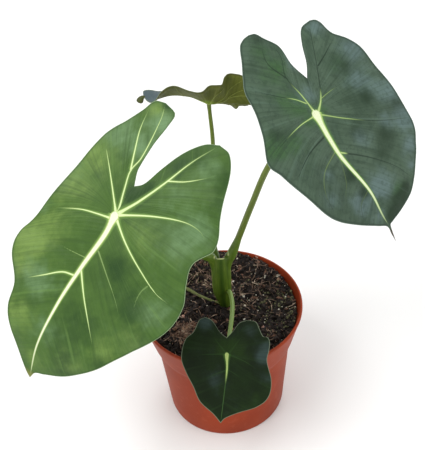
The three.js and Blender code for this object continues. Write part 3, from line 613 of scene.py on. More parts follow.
def leaf_sources(tree):
    """What the skin of a blade is drawn by: places on the leaf and patterns that follow its veins."""
    read = {key: add(tree, "ShaderNodeAttribute", attribute_name=key).outputs["Vector"]
            for key in ("flat", "weave", "tone", "pale", "veins_a", "veins_b", "veins_c")}
    place = add(tree, "ShaderNodeSeparateXYZ", {0: read["flat"]}).outputs
    pale = add(tree, "ShaderNodeSeparateXYZ", {0: read["pale"]}).outputs
    sources = {"u": place[0], "v": place[1], "edge": place[2], "lit rib": pale[0], "lit": pale[1],
               "sunk_shade": pale[2]}
    # The nearest vein of all, in its own half widths
    first, second, third = (add(tree, "ShaderNodeVectorMath", {0: read[key]},
                                operation="ABSOLUTE").outputs[0]
                            for key in ("veins_a", "veins_b", "veins_c"))
    nearer = add(tree, "ShaderNodeVectorMath", {0: second, 1: third}, operation="MINIMUM").outputs[0]
    own = add(tree, "ShaderNodeSeparateXYZ", {0: first}).outputs
    rest = add(tree, "ShaderNodeSeparateXYZ", {0: nearer}).outputs
    sources["rib"], vein = own[0], own[1]
    for other in (own[2], *rest):
        vein = add(tree, "ShaderNodeMath", {0: vein, 1: other}, operation="MINIMUM").outputs[0]
    sources["vein"] = vein
    # Patches of tone with edges broken up over about 8 mm: dark green, warm green and painted sheen, the
    # first two partly painted shade and painted light
    cloud = add(tree, "ShaderNodeTexNoise", {"Vector": read["flat"], "Scale": 0.13, "Detail": 4.0})
    tone = add(tree, "ShaderNodeVectorMath", {0: cloud.outputs["Color"], 1: (0.6, 0.6, 0.6),
                                              2: read["tone"]}, operation="MULTIPLY_ADD").outputs[0]
    for key, socket in zip(("dark", "warm", "painted_sheen"),
                           add(tree, "ShaderNodeSeparateXYZ", {0: tone}).outputs):
        sources[key] = socket
    stretched, nerve_way = (add(tree, "ShaderNodeVectorMath", {0: read["weave"], 1: stretch},
                                operation="MULTIPLY").outputs[0]
                            for stretch in ((0.22, 0.02, 1), (1, 0.05, 1)))
    # Streaks about 4 mm wide along the veins, blotches about 20 mm and mottle about 3 mm across
    for key, vector, scale, detail in (("streaks", stretched, 1.0, 3.0),
                                       ("blotches", read["flat"], 0.05, 2.0),
                                       ("mottle", read["flat"], 0.35, 3.0)):
        sources[key] = add(tree, "ShaderNodeTexNoise", {"Vector": vector, "Scale": scale,
                                                        "Detail": detail}).outputs["Fac"]
    # Fine side nerves and the net between them: too fine to show, so the nerves are drawn about 3 mm
    # apart and the net with cells about 1.2 mm wide
    sources["nerves"] = add(tree, "ShaderNodeTexWave", {
        "Vector": nerve_way, "Scale": 0.105, "Distortion": 1.6, "Detail": 1.0,
        "Detail Scale": 0.6}, bands_direction="X").outputs["Fac"]
    sources["net"] = add(tree, "ShaderNodeTexVoronoi", {"Vector": read["flat"], "Scale": 0.8},
                         feature="DISTANCE_TO_EDGE").outputs["Distance"]
    return sources


def leaf_skin(name, ground, layers, relief, **surface):
    """Living leaf tissue, its colour laid on by the layers and its relief by sources with weights."""
    material, tree, shader = new_material(name, **surface)
    sources = leaf_sources(tree)
    paint(tree, shader, ground, layers, sources)
    height = sources["net"]
    for key, weight in relief:
        height = add(tree, "ShaderNodeMath", {0: sources[key], 1: weight, 2: height},
                     operation="MULTIPLY_ADD").outputs[0]
    emboss(tree, shader, height, 0.35, 0.3)
    return material


# Layers of the upper faces
BLADE_LAYERS = {
    "left": [
        ("#36531f", "blotches", 0.42, 0.62, 0.5),
        # Warm green, partly painted light on the lit L side
        ("#789349", "warm", 0.3, 1.0, 1.45, "streaks"),
        # Painted sheen, bluish grey
        ("#6c8b61", "painted_sheen", 0.3, 1.0, 0.8),
        # Dark green, partly painted shade in folds and between the veins
        ("#223f17", "dark", 0.3, 1.0, 0.95),
        ("#2f4a1d", "streaks", 0.5, 0.68, 0.45),
        ("#628240", "streaks", 0.42, 0.28, 0.35),
        ("#35511f", "mottle", 0.55, 0.72, 0.2),
        ("#2f4c1f", "nerves", 0.8, 0.97, 0.12),
        ("#6f9150", "vein", 1.2, 0.5, 0.35),
        ("#7ba04e", "vein", 4, 1.2, 0.4, "lit"),
        ("#86a957", "rib", 2.0, 1.0, 0.6, "lit rib"),
        ("#a8c06c", "vein", 1.35, 0.9, 0.85, "lit"),
        ("#cfe0a6", "vein", 1.0, 0.5, 0.95, "lit"),
        ("#b2c276", "rib", 1.1, 0.95, 1.0, "lit rib"),
        ("#dde0c6", "rib", 0.9, 0.6, 1.0, "lit rib"),
        ("#2d4a20", "edge", 1.3, 0.5, 0.7),
        ("#9fb48a", "edge", 0.35, 0.15, 0.6),
        ("#77793a", "u", 127, 133, 0.8)],
    "right": [
        ("#2f4232", "blotches", 0.42, 0.62, 0.5),
        ("#37582f", "warm", 0.3, 1.0, 0.75),
        # Painted sheen, bluish grey
        ("#64797a", "painted_sheen", 0.3, 1.0, 1.15, "streaks"),
        # Dark green, partly painted shade in folds and between the veins
        ("#1b2e1c", "dark", 0.3, 1.0, 0.9),
        ("#2a3c2b", "streaks", 0.5, 0.68, 0.45),
        ("#566d5e", "streaks", 0.42, 0.28, 0.35),
        ("#26382b", "mottle", 0.5, 0.66, 0.3),
        ("#223428", "nerves", 0.75, 0.95, 0.15),
        # Painted shade along the sunken veins: a dark line beside every vein and over the dark ones
        ("#1b2b1f", "vein", 1.5, 0.5, 0.7),
        ("#1b2b1f", "vein", 2.4, 0.8, 0.8, "sunk_shade"),
        ("#547d3e", "vein", 3.2, 1.0, 0.35, "lit"),
        ("#547d3e", "rib", 2.0, 1.0, 0.5, "lit rib"),
        ("#8dad5c", "vein", 1.2, 0.8, 0.9, "lit"),
        ("#b5c688", "vein", 0.8, 0.4, 0.8, "lit"),
        ("#93b15f", "rib", 1.1, 0.9, 1.0, "lit rib"),
        ("#dbe3bd", "rib", 0.85, 0.5, 0.95, "lit rib"),
        ("#24352a", "edge", 1.6, 0.7, 0.6),
        ("#7f9384", "edge", 0.35, 0.15, 0.5),
        ("#453e34", "u", 83, 88, 0.95)],
    "back": [
        ("#2c4636", "blotches", 0.42, 0.62, 0.7),
        ("#566f6c", "streaks", 0.5, 0.7, 0.35),
        # Painted sheen, bluish grey, where the upper face shows at the tip
        ("#4c595e", "painted_sheen", 0.3, 0.9, 0.9),
        ("#8da25a", "rib", 1.4, 0.7, 0.8, "lit rib"),
        ("#8d9668", "edge", 0.5, 0.25, 0.6)],
    "front": [
        ("#0f1a0a", "blotches", 0.42, 0.62, 0.6),
        ("#243a12", "warm", 0.3, 1.0, 0.7),
        # Painted sheen, bluish grey
        ("#3c4c4c", "painted_sheen", 0.3, 1.0, 1.2, "streaks"),
        ("#0c1509", "dark", 0.3, 1.0, 0.8),
        ("#203318", "streaks", 0.5, 0.7, 0.4),
        ("#0f1a0b", "nerves", 0.7, 0.95, 0.15),
        ("#38592a", "vein", 2.0, 0.7, 0.6, "lit"),
        ("#44682a", "rib", 2.6, 1.0, 0.6, "lit rib"),
        ("#38552a", "rib", 1.0, 0.6, 0.03, "u"),
        ("#a2b56c", "rib", 1.1, 0.7, 0.95, "lit rib"),
        ("#75806a", "edge", 0.45, 0.2, 0.8)],
}
# Sheen and refraction of the upper faces; the front blade, the darkest, has no sheen
VELVET = {"left": (0.06, 1.28), "right": (0.06, 1.28), "back": (0.06, 1.28), "front": (0.0, 1.2)}
# Ground and warmth of the undersides; the back blade's is the one that the photo shows
UNDERSIDES = {"left": ("#6d7a3e", 0.3), "right": ("#6d7a3e", 0.3), "back": ("#5d6426", 0.8),
              "front": ("#6d7a3e", 0.3)}


def blade_skins(name, ground):
    """Upper skin and underside skin of one blade."""
    sheen, refraction = VELVET[name]
    below_ground, warmth = UNDERSIDES[name]
    # Upper face: tiny bulging cells scatter light, so it looks velvety, with a soft sheen and no glare
    top = leaf_skin(f"Velvety leaf skin, {name} blade", ground, BLADE_LAYERS[name],
                    [("nerves", -0.5), ("streaks", 0.8)], roughness=0.5, sheen_weight=sheen,
                    sheen_roughness=0.4, sheen_tint=linear("#dfeee6"), ior=refraction)
    # Underside: looser tissue with less green, so paler and more matt, with yellow-green ribs
    below = leaf_skin(f"Leaf underside, {name} blade", below_ground, [
        ("#454d1a", "blotches", 0.42, 0.62, 0.6),
        ("#7a9a2c", "warm", 0.38, 0.95, warmth),
        # Where the upper face has its painted sheen patches, the underside is drawn darker olive
        ("#46462a", "painted_sheen", 0.38, 0.95, 0.5),
        ("#7d8440", "streaks", 0.5, 0.7, 0.4),
        ("#454d1a", "nerves", 0.7, 0.95, 0.3),
        ("#8f9a4c", "vein", 1.5, 0.6, 0.55),
        ("#a9b85c", "rib", 1.3, 0.7, 0.9),
        ("#3b4016", "u", 12, 36, 0.5),
        ("#4f4b2e", "edge", 1.5, 0.5, 0.6)],
        [("nerves", 0.6), ("streaks", 0.5)], roughness=0.6, ior=1.25)
    return top, below


def stalk_skin(name, ground, dark, light, roughness=0.45, sheath=False):
    """Fleshy stalk skin: smooth and moist, so satin, with the vessels under it as lengthwise streaks.
    A withered one is dry, so rougher."""
    material, tree, shader = new_material(name, roughness=roughness, ior=1.42)
    skin = add(tree, "ShaderNodeAttribute", attribute_name="skin").outputs["Vector"]
    # Streaks about 0.4 mm wide and 13 mm long, in patches about 1.5 mm wide and 60 mm long
    drawn = add(tree, "ShaderNodeVectorMath", {0: skin, 1: (3.2, 3.2, 0.035)},
                operation="MULTIPLY").outputs[0]
    sources = {
        "streaks": add(tree, "ShaderNodeTexNoise", {"Vector": drawn, "Scale": 2.2, "Detail": 4.0,
                                                    "Roughness": 0.6}).outputs["Fac"],
        "patches": add(tree, "ShaderNodeTexNoise", {"Vector": drawn, "Scale": 0.5,
                                                    "Detail": 2.0}).outputs["Fac"],
    }
    layers = [(dark, "patches", 0.4, 0.65, 0.6), (dark, "streaks", 0.52, 0.7, 0.6),
              (light, "streaks", 0.45, 0.3, 0.6)]
    if sheath:
        # Dark down the middle of the front, a pale dry edge where the sheath ends
        front = add(tree, "ShaderNodeSeparateXYZ", {0: skin}).outputs
        across = add(tree, "ShaderNodeMath", {0: front[0]}, operation="ABSOLUTE").outputs[0]
        sources.update(across=across, margin=add(
            tree, "ShaderNodeAttribute", attribute_name="margin").outputs["Fac"])
        layers += [("#2c4a10", "across", 0.45, 0.0, 0.75), (light, "across", 0.86, 0.99, 0.6),
                   ("#c3cc8c", "margin", 1.3, 0.6, 0.85)]
    paint(tree, shader, ground, layers, sources)
    emboss(tree, shader, sources["streaks"], 0.4, 0.2)
    return material


def grain_skin(name, ground, layers, scales, depth, roughness, **surface):
    """Plain stuff with patterns on its own place: each scale is a size in millimetres."""
    material, tree, shader = new_material(name, roughness=roughness, **surface)
    place = add(tree, "ShaderNodeTexCoord").outputs["Object"]
    sources = {key: add(tree, "ShaderNodeTexNoise", {"Vector": place, "Scale": 1 / (size * MM),
                                                     "Detail": 4.0}).outputs["Fac"]
               for key, size in scales.items()}
    paint(tree, shader, ground, layers, sources)
    emboss(tree, shader, next(iter(sources.values())), 0.5, depth)
    return material


# What the soil is made of: name, ground, layers, sizes of its patterns, depth of its relief, roughness
SOIL_STUFF = {
    # Wet peat swallows light: nearly black and matt, crumbly, with paler specks where it dries
    "peat": ("Damp peat", "#1d1410",
             [("#0d0907", "fine", 0.45, 0.6, 0.85), ("#46342a", "fine", 0.42, 0.3, 0.6),
              ("#33261d", "wide", 0.5, 0.65, 0.6)], {"fine": 1.4, "wide": 9}, 0.8, 0.95),
    # Crumbs stand clear of the wet and dry first: browner than the peat, each another shade
    "crumb": ("Peat crumbs", "#241914",
              [("#0c0806", "wide", 0.45, 0.6, 0.85), ("#5e4a3d", "wide", 0.4, 0.3, 0.7),
               ("#15100c", "fine", 0.5, 0.65, 0.6)], {"fine": 0.8, "wide": 2.5}, 0.3, 0.95),
    # Bark chips break along the grain: reddish brown with tan faces and dark cracks
    "bark": ("Composted bark", "#6a4a3a",
             [("#2b1a14", "fine", 0.5, 0.62, 0.8), ("#a5836a", "wide", 0.5, 0.66, 0.7)],
             {"fine": 0.9, "wide": 4}, 0.3, 0.9),
    # Crumbs grown over with algae and moss: dull olive, matt
    "moss": ("Mossy crumbs", "#696849",
             [("#1c1f12", "wide", 0.45, 0.6, 0.85), ("#8f8f66", "wide", 0.38, 0.28, 0.8)],
             {"fine": 0.7, "wide": 2.5}, 0.3, 0.95),
    # Perlite is foamed glass: off-white and chalky, with darker pits
    "perlite": ("Perlite", "#ddd8c8", [("#9a907c", "fine", 0.45, 0.65, 0.8)], {"fine": 0.8}, 0.2, 0.9),
    # Fired clay: dusty pink, a little smoother than the soil
    "clay": ("Clay chips", "#b98f80", [("#7d5648", "fine", 0.48, 0.64, 0.8)], {"fine": 1.2}, 0.2, 0.85),
    # Coir and roots: dry brown threads with straw-coloured stretches
    "fibre": ("Coir fibre", "#8a7160",
              [("#4f3c30", "wide", 0.48, 0.6, 0.85), ("#d8c4ac", "wide", 0.43, 0.33, 0.85)],
              {"fine": 0.6, "wide": 5}, 0.1, 0.85),
}


def pot_plastic(colour):
    """Injection-moulded polypropylene, dyed terracotta: satin with broad soft highlights, a faint grain
    drawn coarser than the real one so that it shows, uneven dye and a few scuffs."""
    return grain_skin("Moulded polypropylene", (*colour, 1), [
        ("#803018", "wide", 0.4, 0.62, 0.45),
        ("#a8543c", "scuff", 0.55, 0.72, 0.25),
        ("#7e3520", "grain", 0.55, 0.75, 0.3)],
        {"grain": 0.6, "wide": 24, "scuff": 5}, 0.05, 0.5, ior=1.2)


# Pieces

class PotSizes(bpy.types.PropertyGroup):
    """Sizes and colour of the nursery pot."""
    rim: bpy.props.FloatProperty(name="Rim radius", description="Outside radius of the rim",
                                 default=0.06, unit="LENGTH")
    collar: bpy.props.FloatProperty(name="Collar height", description="Height of the wide collar",
                                    default=0.028, unit="LENGTH")
    wall: bpy.props.FloatProperty(name="Wall", description="Thickness of the wall", default=0.0015,
                                  unit="LENGTH")
    holes: bpy.props.IntProperty(name="Holes", description="Drainage holes in the floor", default=6)
    colour: colour_property("Plastic", "Colour of the plastic", "#93391c")


class SoilSizes(bpy.types.PropertyGroup):
    """What lies in the potting soil."""
    crumbs: bpy.props.IntProperty(name="Crumbs", description="Soil crumbs", default=3200)
    fibres: bpy.props.IntProperty(name="Fibres", description="Coir and root fibres", default=950)
    grains: bpy.props.IntProperty(name="Perlite", description="White perlite grains", default=150)


class LeafSizes(bpy.types.PropertyGroup):
    """Thickness and fineness of the blades, and the ground colours of their upper faces."""
    thickness: bpy.props.FloatProperty(name="Thickness", description="Thickness of a blade",
                                       default=0.00085, unit="LENGTH")
    pitch: bpy.props.FloatProperty(name="Pitch", description="Spacing of a blade's mesh at its edge",
                                   default=0.0011, unit="LENGTH")
    left: colour_property("Left blade", "Ground colour of the left blade", "#426026")
    right: colour_property("Right blade", "Ground colour of the right blade", "#455847")
    back: colour_property("Back blade", "Ground colour of the back blade", "#46584a")
    front: colour_property("Front blade", "Ground colour of the front blade", "#15240d")


class StageLooks(bpy.types.PropertyGroup):
    """Floor and light."""
    floor: colour_property("Floor", "Colour of the floor", "#f3f3f2")
    light: bpy.props.FloatProperty(name="Light", description="Strength of the studio light",
                                   default=1.0)


class ALOCASIA_OT_pot(bpy.types.Operator):
    """Nursery pot with a collar, rounded rim and drainage holes"""
    bl_idname = "alocasia.pot"
    bl_label = "Pot"

    def execute(self, context):
        sizes = context.scene.alocasia_pot
        rim, wall = sizes.rim / MM, sizes.wall / MM
        low = POT_HEIGHT - sizes.collar / MM
        outline = [[0, 1.2], [40, 1.2], [41.5, 0], [43.6, 0], [44.6, 0.6], [45, 1.8],
                   [46.3, 17], [50.4, low - 6], [50.9, low - 2.5], [52, low - 0.6],
                   [53.2, low + 0.9], [53.9, low + 3], [rim - 0.6, POT_HEIGHT - 3.5],
                   [rim, POT_HEIGHT - 2.2], [rim, POT_HEIGHT - 0.7], [rim - 0.6, POT_HEIGHT],
                   [rim - wall, POT_HEIGHT - 0.1], [rim - wall - 0.4, POT_HEIGHT - 1],
                   [53.9 - wall, low + 3.4], [53.2 - wall, low + 1.3], [50.9 - wall, low - 2.3],
                   [46.3 - wall, 17], [45 - wall, 3], [44.2 - wall, 2.2], [0, 2.2]]
        pick()
        bpy.ops.mesh.primitive_circle_add(vertices=len(outline), fill_type="NOTHING")
        pot = context.object
        pot.name = "pot"
        corners = np.array([[r, 0, z] for r, z in outline]) * MM
        pot.data.vertices.foreach_set("co", corners.ravel())
        with editing(pot):
            bpy.ops.mesh.spin(steps=128, angle=2 * math.pi, center=(0, 0, 0), axis=(0, 0, 1))
            bpy.ops.mesh.select_all(action="SELECT")
            bpy.ops.mesh.remove_doubles(threshold=0.01 * MM)
            bpy.ops.mesh.normals_make_consistent(inside=False)
        drills = []
        for i in range(sizes.holes):
            turn = (i + 0.5) * 2 * math.pi / sizes.holes
            bpy.ops.mesh.primitive_cylinder_add(
                vertices=32, radius=HOLE_RADIUS * MM, depth=6 * MM,
                location=(HOLE_RING * MM * math.cos(turn), HOLE_RING * MM * math.sin(turn), 1 * MM))
            drills.append(context.object)
        drill = join("drill", drills)
        apply(pot, "BOOLEAN", object=drill, operation="DIFFERENCE", solver="EXACT")
        bpy.data.objects.remove(drill)
        apply(pot, "BEVEL", width=0.25 * MM, segments=2, limit_method="ANGLE",
              angle_limit=math.radians(40))
        finish(pot, "pot_plastic", "pot", material=pot_plastic(sizes.colour), angle=35)
        return {"FINISHED"}


def foot_radius(base):
    """Radius along a stalk's foot: thicker by its sheath halfway up, about the stalk's own at its top."""
    return lambda t, turn: base + 1.0 * ramp(t, 0.1, 0.5) - 1.5 * ramp(t, 0.5, 1)


class ALOCASIA_OT_crown(bpy.types.Operator):
    """Sheathed bundle of stalk bases"""
    bl_idname = "alocasia.crown"
    bl_label = "Crown"

    def execute(self, context):
        turn = np.linspace(0, 2 * math.pi, 72, endpoint=False)
        heights = np.linspace(CROWN_FOOT, CROWN_TOP, 80)
        rings = []
        for z, (x, r) in zip(heights, smooth(CROWN_ROWS, heights)):
            y = CROWN_Y + r * CROWN_DEPTH * np.sin(turn)
            behind = y - CROWN_Y + CROWN_DEPTH * r
            fall = CROWN_SLANT * ramp(z, CROWN_SLANT_FROM, CROWN_TOP) * behind
            rings.append(np.column_stack([x + r * np.cos(turn), y, z - fall]))
        parts = [tube("crown", np.array(rings), heights)]
        for key in ("left", "right", "back"):
            path, radii, low = STALKS[key]
            parts.append(tube(f"foot_{key}", *tube_rings(path[:low], foot_radius(radii[0]), 32, 60,
                                                         (1, 0, 0))))
        middle, half_size = FRONT_SHEATH
        bpy.ops.mesh.primitive_uv_sphere_add(radius=1, segments=32, ring_count=16,
                                             location=[at * MM for at in middle],
                                             scale=[size * MM for size in half_size])
        bpy.ops.object.transform_apply(location=True, rotation=True, scale=True)
        parts.append(context.object)
        crown = join("crown", parts)
        apply(crown, "REMESH", mode="VOXEL", voxel_size=0.4 * MM)
        apply(crown, "SMOOTH", factor=0.5, iterations=12)
        place = vectors(crown.data.vertices, "co") / MM
        round_it = np.arctan2(place[:, 1] - CROWN_Y, place[:, 0] - CROWN_AXIS_X)
        store(crown, "skin", np.column_stack([np.cos(round_it), np.sin(round_it), place[:, 2]]))
        edge = along(SHEATH_EDGE, np.linspace(0, 1, 60))
        store(crown, "margin", np.linalg.norm(place[:, None] - edge[None], axis=2).min(1))
        finish(crown, "green_stalk", "crown",
               material=stalk_skin("Stalk sheath skin", "#55701c", "#35500f", "#788a3a", sheath=True))
        return {"FINISHED"}


def stalk_radius(first, last):
    """Radius along a stalk, which flares where it meets its blade."""
    return lambda t, turn: first + (last - first) * t**0.6 + 0.35 * max(t - 0.96, 0) / 0.04


class ALOCASIA_OT_stalks(bpy.types.Operator):
    """The leaf stalks and the withered stalk on the soil"""
    bl_idname = "alocasia.stalks"
    bl_label = "Stalks"

    def execute(self, context):
        green = stalk_skin("Leaf stalk skin", "#62731f", "#4a5d18", "#87964a")
        pale = stalk_skin("Pale stalk skin", "#84a04f", "#64803a", "#b4c389")
        for key, (path, radii, _) in STALKS.items():
            out = hub_frame(LEAVES[key])[2]
            end = np.array(LEAVES[key]["hub"]) - out * 0.9
            route = path + [(end - out * 3).tolist(), end.tolist()]
            piece = tube(f"petiole_{key}", *tube_rings(route, stalk_radius(*radii), 28, 110, (1, 0, 0)))
            slot, skin = ("pale_stalk", pale) if key == "front" else ("green_stalk", green)
            finish(piece, slot, f"petiole_{key}", material=skin)
        route = [[x, y, float(soil_height(x, y)) + OLD_STALK_RADIUS + 0.2] for x, y in OLD_STALK]
        rings, lengths = tube_rings(
            route, lambda t, turn: OLD_STALK_RADIUS * (0.45 + 0.45 * t) * (1 + 0.12 * np.sin(5 * turn)),
            20, 40)
        finish(tube("old_stalk", rings, lengths), "dried_stalk", "old_stalk",
               material=stalk_skin("Withered stalk skin", "#7d8650", "#565c30", "#b5b588", 0.8))
        return {"FINISHED"}


def blade_rows(low, high, pitch, *lists):
    """Rows between two places on a leaf: every station, and between them rows a pitch apart."""
    stations = sorted({low, high, *(row[0] for rows in lists for row in rows if low <= row[0] <= high)})
    ends = smooth(lists[0], np.array(stations))[:, :2]
    rows = [stations[0]]
    for a, b, gap in zip(stations, stations[1:], np.linalg.norm(np.diff(ends, axis=0), axis=1)):
        count = max(2, math.ceil(gap / pitch))
        rows += [a + (b - a) * i / count for i in range(1, count + 1)]
    return np.array(rows)


# Veins that one side of a blade has room for, with its midrib, and a distance past all of them
VEIN_ROOM = 9
FAR = 99.0


def blade_veins(leaf, side, points):
    """Where each vein runs, in its own half widths and below 0 past it; how pale the midrib and the
    nearest vein are and how dark that vein is; and the distance to the nearest vein."""
    lines = np.full((len(points), VEIN_ROOM), FAR)
    pale = np.zeros((len(points), 3))
    nearest, gaps = np.full(len(points), FAR), np.full(len(points), FAR)
    veins = [vein for vein in leaf["veins"] if vein[0] in ("M", side)]
    for i, (kind, width, reach, strength, route) in enumerate(veins):
        gap, t, past = line_distance(points, along(route, np.linspace(0, 1, 41)))
        # It flares at the hub, thins along its way, ends in a point and starts round
        flare = 1 + 0.9 * np.exp(-(points**2).sum(1) / 20)
        here = gap / (width * flare * (1 - 0.82 * t**0.65) * (0.03 + 0.97 * ramp(1 - t, 0, 0.1)))
        here = here * (1 + (t == 0) * 2 * np.maximum(gap - 0.8 * width * flare, 0))
        here = np.minimum(here + 2 * np.maximum(here - 4, 0)**2, 200)
        lines[:, i] = past * here
        glow = abs(strength) * (1 - ramp(t, 0.5 * reach, reach))
        gaps = np.minimum(gaps, gap)
        if kind == "M":
            pale[:, 0] = glow
            continue
        closer = here < nearest
        nearest = np.where(closer, here, nearest)
        # Column 1: how pale the nearest vein is; column 2: how dark it is drawn, painted shade along a
        # sunken vein
        for column, value in ((1, glow * (strength > 0)), (2, glow * (strength < 0))):
            pale[:, column] = np.where(closer, value, pale[:, column])
    return lines, pale, gaps


def tones(leaf, points):
    """Amounts of dark green, warm green and painted sheen at flat places; the dark and warm amounts are
    partly painted shade and painted light.
    """
    out = []
    for key in ("dark", "warm", "painted_sheen"):
        rest = np.ones(len(points))
        for u, v, radius, amount in leaf[key]:
            rest *= 1 - amount * np.exp(-((points - (u, v))**2).sum(1) / radius**2)
        out.append(1 - rest)
    return np.stack(out, axis=1)


def blade_strip(name, leaf, side, inner, s, columns):
    """Mesh between a rib and an edge of a blade, with what its skins are drawn by."""
    b = np.linspace(0, 1, columns)
    flat = flat_points(leaf, side, inner, s, b)
    shape = flat.shape[:2]
    rib_end, edge_end, _ = flat_rows(leaf, side, inner, s)
    width = np.linalg.norm(edge_end - rib_end, axis=1)
    edge = 0.9 * width[:, None] * (1 - b)[None]
    points = flat.reshape(-1, 2)
    lines, pale, gaps = blade_veins(leaf, side, points)
    quilt = leaf["quilt"] * (1 - np.exp(-(gaps / 4)**2)) * ramp(edge.ravel(), 0, 6)
    place = in_space(leaf, points[:, 0], points[:, 1], quilt - leaf["quilt"] * 0.5)
    across = np.concatenate([[0], np.cumsum(np.linalg.norm(np.diff(edge_end, axis=0), axis=1))])
    # The third number sets the patterns of each strip apart
    weave = np.dstack([np.broadcast_to(across[:, None], shape), b[None] * width[:, None],
                       np.full(shape, 7.0 * (side == "L") + 13.0 * inner)])
    drawn_by = {"flat": np.dstack([flat, edge]), "weave": weave, "pale": pale,
                "tone": tones(leaf, points), "veins_a": lines[:, :3], "veins_b": lines[:, 3:6],
                "veins_c": lines[:, 6:]}
    return grid(name, place.reshape(*shape, 3),
                {key: values.reshape(*shape, 3) for key, values in drawn_by.items()},
                turned=(side == "R") != inner)


# Undersides, in millimetres: thickness right at the edge, and how far veins, the midrib and a lobe's
# rib stand out at most
EDGE_THICKNESS = 0.3
VEIN_RELIEF = 0.45
MIDRIB_RELIEF = 1.5
LOBE_RIB_RELIEF = 1.1


def thicken(blade, leaf, thickness, rib_share):
    """Gives a blade its underside: thin at the edge, with raised ribs and veins."""
    count = len(blade.data.vertices)
    normals = vectors(blade.data.vertex_normals, "vector")
    flat, *veins = (vectors(blade.data.attributes[key].data, "vector")
                    for key in ("flat", "veins_a", "veins_b", "veins_c"))
    # Solidify makes the underside's points, which are then put at their own depths
    apply(blade, "SOLIDIFY", thickness=0.4 * MM, offset=-1, material_offset=1,
          material_offset_rim=0)
    place = vectors(blade.data.vertices, "co")
    edge, u = flat[:, 2], flat[:, 0]
    lines = np.abs(np.column_stack(veins))
    taper = rib_share * (1 - 0.75 * np.abs(u) / leaf["midrib"][-1][0])
    body = EDGE_THICKNESS + (thickness - EDGE_THICKNESS) * ramp(edge, 0, 2.5)
    raised = VEIN_RELIEF * np.exp(-(lines[:, 2:].min(1) / 1.3)**2)
    for rib, height in ((lines[:, 0], MIDRIB_RELIEF), (lines[:, 1] / 1.6, LOBE_RIB_RELIEF)):
        raised = np.maximum(raised, height * taper * np.sqrt(np.maximum(1 - (rib / 1.2)**2, 0)))
    place[count:2 * count] = place[:count] - normals * (body + raised * ramp(edge, 0, 3))[:, None] * MM
    blade.data.vertices.foreach_set("co", place.ravel())
    blade.data.update()


# Finer mesh and lower ribs for the small blades: share of the pitch, share of the ribs' height and
# columns of a strip and of an inner strip
LARGE, SMALL = (1, 1, 48, 16), (0.7, 0.5, 34, 14)
BUILDS = {"left": LARGE, "right": LARGE, "back": SMALL, "front": SMALL}


def build_blade(key, sizes, skins):
    """One blade: four strips of mesh between its ribs and edges, given thickness, ribs and veins."""
    leaf = LEAVES[key]
    pitch_share, rib_share, columns, inner_columns = BUILDS[key]
    pitch = sizes.pitch / MM * pitch_share
    strips = []
    tip_rows = blade_rows(0, 1, pitch, margin(leaf, "L", False), margin(leaf, "R", False))
    for side in "LR":
        lobe_rows = blade_rows(-1, 0, pitch, margin(leaf, side, False), margin(leaf, side, True))
        outer_rows = np.concatenate([lobe_rows, tip_rows[1:]])
        for inner, s, count in ((False, outer_rows, columns), (True, lobe_rows, inner_columns)):
            strips.append(blade_strip(f"{key}_{side}_{inner}", leaf, side, inner, s, count))
    blade = join(f"blade_{key}", strips)
    for skin in skins:
        blade.data.materials.append(skin)
    thicken(blade, leaf, sizes.thickness / MM, rib_share)
    return blade


class ALOCASIA_OT_blades(bpy.types.Operator):
    """The four leaf blades"""
    bl_idname = "alocasia.blades"
    bl_label = "Blades"

    def execute(self, context):
        sizes = context.scene.alocasia_leaf
        for key in LEAVES:
            blade = build_blade(key, sizes, blade_skins(key, (*getattr(sizes, key), 1)))
            finish(blade, f"leaf_{key}", f"blade_{key}", angle=75)
        rings, lengths = tube_rings(
            TIP_CURL, lambda t, turn: 0.2 + 2.9 * t**0.7 * (1 - t**6)**0.5, 24, 24)
        finish(tube("tip_curl", rings, lengths), "leaf_back",
               material=stalk_skin("Withered leaf tip", "#4a5220", "#353b14", "#6d7438", 0.6))
        return {"FINISHED"}


def scatter(name, base, spots, lumps, material):
    """Copies of a small shape as one piece: each spot is a place, a size on each axis and a turn."""
    pick()
    corners = np.array([v.co for v in base.data.vertices])
    faces = np.array([f.vertices for f in base.data.polygons])
    rng = np.random.default_rng(7)
    points, polygons = [], []
    for i, (place, size, turn) in enumerate(spots):
        lumpy = corners * (1 + rng.uniform(-lumps, lumps, corners.shape))
        points.append((lumpy * size) @ np.array(turn).T + place)
        polygons.append(faces + i * len(corners))
    mesh = bpy.data.meshes.new(name)
    mesh.from_pydata(np.concatenate(points) * MM, [], np.concatenate(polygons).tolist())
    mesh.validate()
    piece = bpy.data.objects.new(name, mesh)
    bpy.context.collection.objects.link(piece)
    finish(piece, "potting_soil", material=material, angle=25)


def soil_spots(rng, count, low, high, stretch, lift, middle=None, spread=0):
    """Random places on the soil, all over or round a middle, for grains of a size between low and high.
    lift: how far a grain stands up, as a share of its size."""
    spots = []
    while len(spots) < count:
        if middle:
            x, y = rng.gauss(middle[0], spread), rng.gauss(middle[1], spread)
        else:
            radius, turn = STREWN * math.sqrt(rng.random()), rng.uniform(0, 2 * math.pi)
            x, y = radius * math.cos(turn), radius * math.sin(turn)
        size = low + (high - low) * rng.random()**2
        inward = min(1, (soil_edge(x, y) - 0.6 * size) / math.hypot(x, y))
        x, y = x * inward, y * inward
        if math.hypot(x - CROWN_X, y - CROWN_Y) < CROWN_CLEAR:
            continue
        sizes = np.array([size * rng.uniform(*stretch), size, size * rng.uniform(0.5, 0.9)])
        turned = Matrix.Rotation(rng.uniform(0, 6.3), 3, "Z") @ Matrix.Rotation(
            rng.uniform(-0.7, 0.7), 3, "X") @ Matrix.Rotation(rng.uniform(-0.7, 0.7), 3, "Y")
        spots.append((np.array([x, y, float(soil_height(x, y)) + size * lift]), sizes, turned))
    return spots


